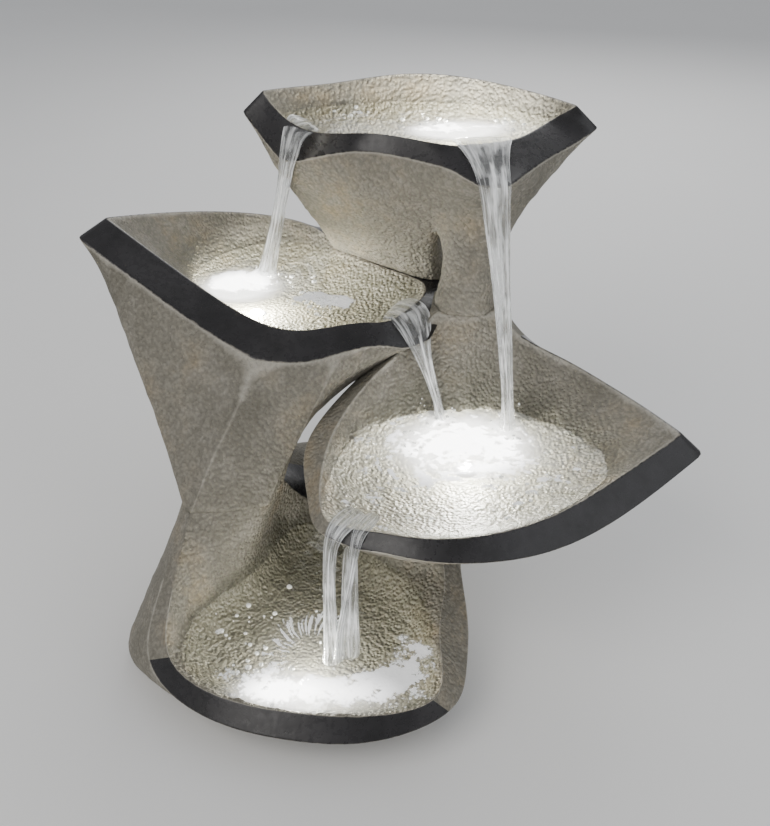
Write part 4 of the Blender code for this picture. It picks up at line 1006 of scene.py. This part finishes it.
# ------------------------------------------------------------------ pool lamps
# Four potted pucks sit in the pool floors. Each shines up through a clear dome into the water,
# and lights the inner walls and the stone that hangs over it.
LAMP_POWER = {"basin": 0.9, "right": 2.6, "left": 2.5, "top": 2.0}
LAMP_TINT = (1.0, 0.985, 0.95)
lens_look, tree, shader, at = new_look("lamp_dome")
haze = mottle(tree, at, 240.0, 2.0)
feed(tree, shader, {
    "Base Color": mixed(tree, haze, (0.90, 0.93, 1.0, 1), (0.98, 0.98, 1.0, 1)),
    "Roughness": span(tree, haze, 0.3, 0.7, 0.08, 0.2),
    "Emission Color": (1.0, 0.985, 0.95, 1),
    "Emission Strength": span(tree, haze, 0.0, 1.0, 2.4, 3.2),
})
puck_look, tree, shader, at = new_look("lamp_puck")
haze = mottle(tree, at, 320.0, 3.0)
feed(tree, shader, {
    "Base Color": mixed(tree, haze, (0.030, 0.030, 0.034, 1), (0.065, 0.065, 0.068, 1)),
    "Roughness": span(tree, haze, 0.3, 0.7, 0.28, 0.48),
    "Normal": raised(tree, haze, 0.0002, 0.3),
})


def finish_node(node, look):
    """Gives a solid that is kept as it is its finished material."""
    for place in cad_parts[node].material_slots:
        place.material = look


for key, power in LAMP_POWER.items():
    finish_node("led_lens_" + key, lens_look)
    finish_node("led_body_" + key, puck_look)
    low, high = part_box("led_lens_" + key)
    glow = bpy.data.objects.new("lamp_light_" + key, bpy.data.lights.new("lamp_light_" + key, "POINT"))
    bpy.context.scene.collection.objects.link(glow)
    glow.location = (low + high) / 2 + Vector((0, 0, 0.014))
    glow.data.energy = power
    glow.data.color = LAMP_TINT
    glow.data.shadow_soft_size = 0.006

# ------------------------------------------------------------------ pump and its fittings
# A small submersible pump stands in the room behind the basin: moulded black shell and strainer,
# pale impeller on a ceramic shaft, rubber cups, foam pad, and a clear vinyl riser.
def plastic_look(name, dark, light, rough, grain=900.0, depth=0.00012):
    look, tree, shader, at = new_look(name)
    skin = mottle(tree, at, grain, 2.0)
    wear = mottle(tree, at, 60.0, 4.0, 0.6)
    feed(tree, shader, {
        "Base Color": mixed(tree, wear, (*dark, 1), (*light, 1)),
        "Roughness": span(tree, wear, 0.3, 0.7, rough - 0.08, rough + 0.10),
        "Normal": raised(tree, skin, depth, 0.5),
    })
    return look


black_plastic = plastic_look("moulded_black", (0.014, 0.014, 0.016), (0.034, 0.034, 0.036), 0.42)
pale_plastic = plastic_look("moulded_grey", (0.56, 0.56, 0.54), (0.68, 0.68, 0.66), 0.36)
ceramic = plastic_look("ground_ceramic", (0.80, 0.79, 0.74), (0.90, 0.89, 0.86), 0.25, 1400.0, 0.00005)
rubber = plastic_look("black_rubber", (0.018, 0.018, 0.018), (0.045, 0.044, 0.042), 0.78, 500.0, 0.0002)
cover_plastic = plastic_look("cover_shell", (0.036, 0.034, 0.030), (0.075, 0.070, 0.062), 0.52, 620.0, 0.0003)

foam_look, tree, shader, at = new_look("filter_foam")
cells = add(tree, "ShaderNodeTexVoronoi", {"Vector": at, "Scale": 620.0}).outputs["Distance"]
feed(tree, shader, {
    # The pores, low in the bump, are painted darker than the cell walls: painted shade in the pores.
    "Base Color": mixed(tree, span(tree, cells, 0.1, 0.7), (0.012, 0.015, 0.015, 1), (0.085, 0.10, 0.10, 1)),
    "Roughness": span(tree, cells, 0.0, 0.8, 0.85, 0.98),
    "Normal": raised(tree, cells, 0.0012, 1.0),
})
vinyl_look, tree, shader, at = new_look("clear_vinyl")
haze = mottle(tree, at, 120.0, 3.0)
feed(tree, shader, {
    "Base Color": mixed(tree, haze, (0.66, 0.70, 0.71, 1), (0.80, 0.83, 0.83, 1)),
    "Roughness": span(tree, haze, 0.3, 0.7, 0.14, 0.28),
    "Alpha": span(tree, haze, 0.3, 0.7, 0.62, 0.78),
})
NODE_LOOKS = {
    black_plastic: ("pump_housing", "pump_outlet", "pump_strainer", "intake_grille", "top_diffuser"),
    pale_plastic: ("impeller", "flow_dial", "front_bush", "rear_bush"),
    ceramic: ("impeller_shaft",),
    rubber: ("cord_gland", "suction_cup_front_left", "suction_cup_front_right", "suction_cup_rear_left",
             "suction_cup_rear_right", "foot_front_left", "foot_front_right", "foot_rear_left", "foot_rear_right"),
    cover_plastic: ("rear_cover", "cover_pull"),
    foam_look: ("filter_foam",),
    vinyl_look: ("riser_tube",),
}
for look, nodes in NODE_LOOKS.items():
    for node in nodes:
        finish_node(node, look)
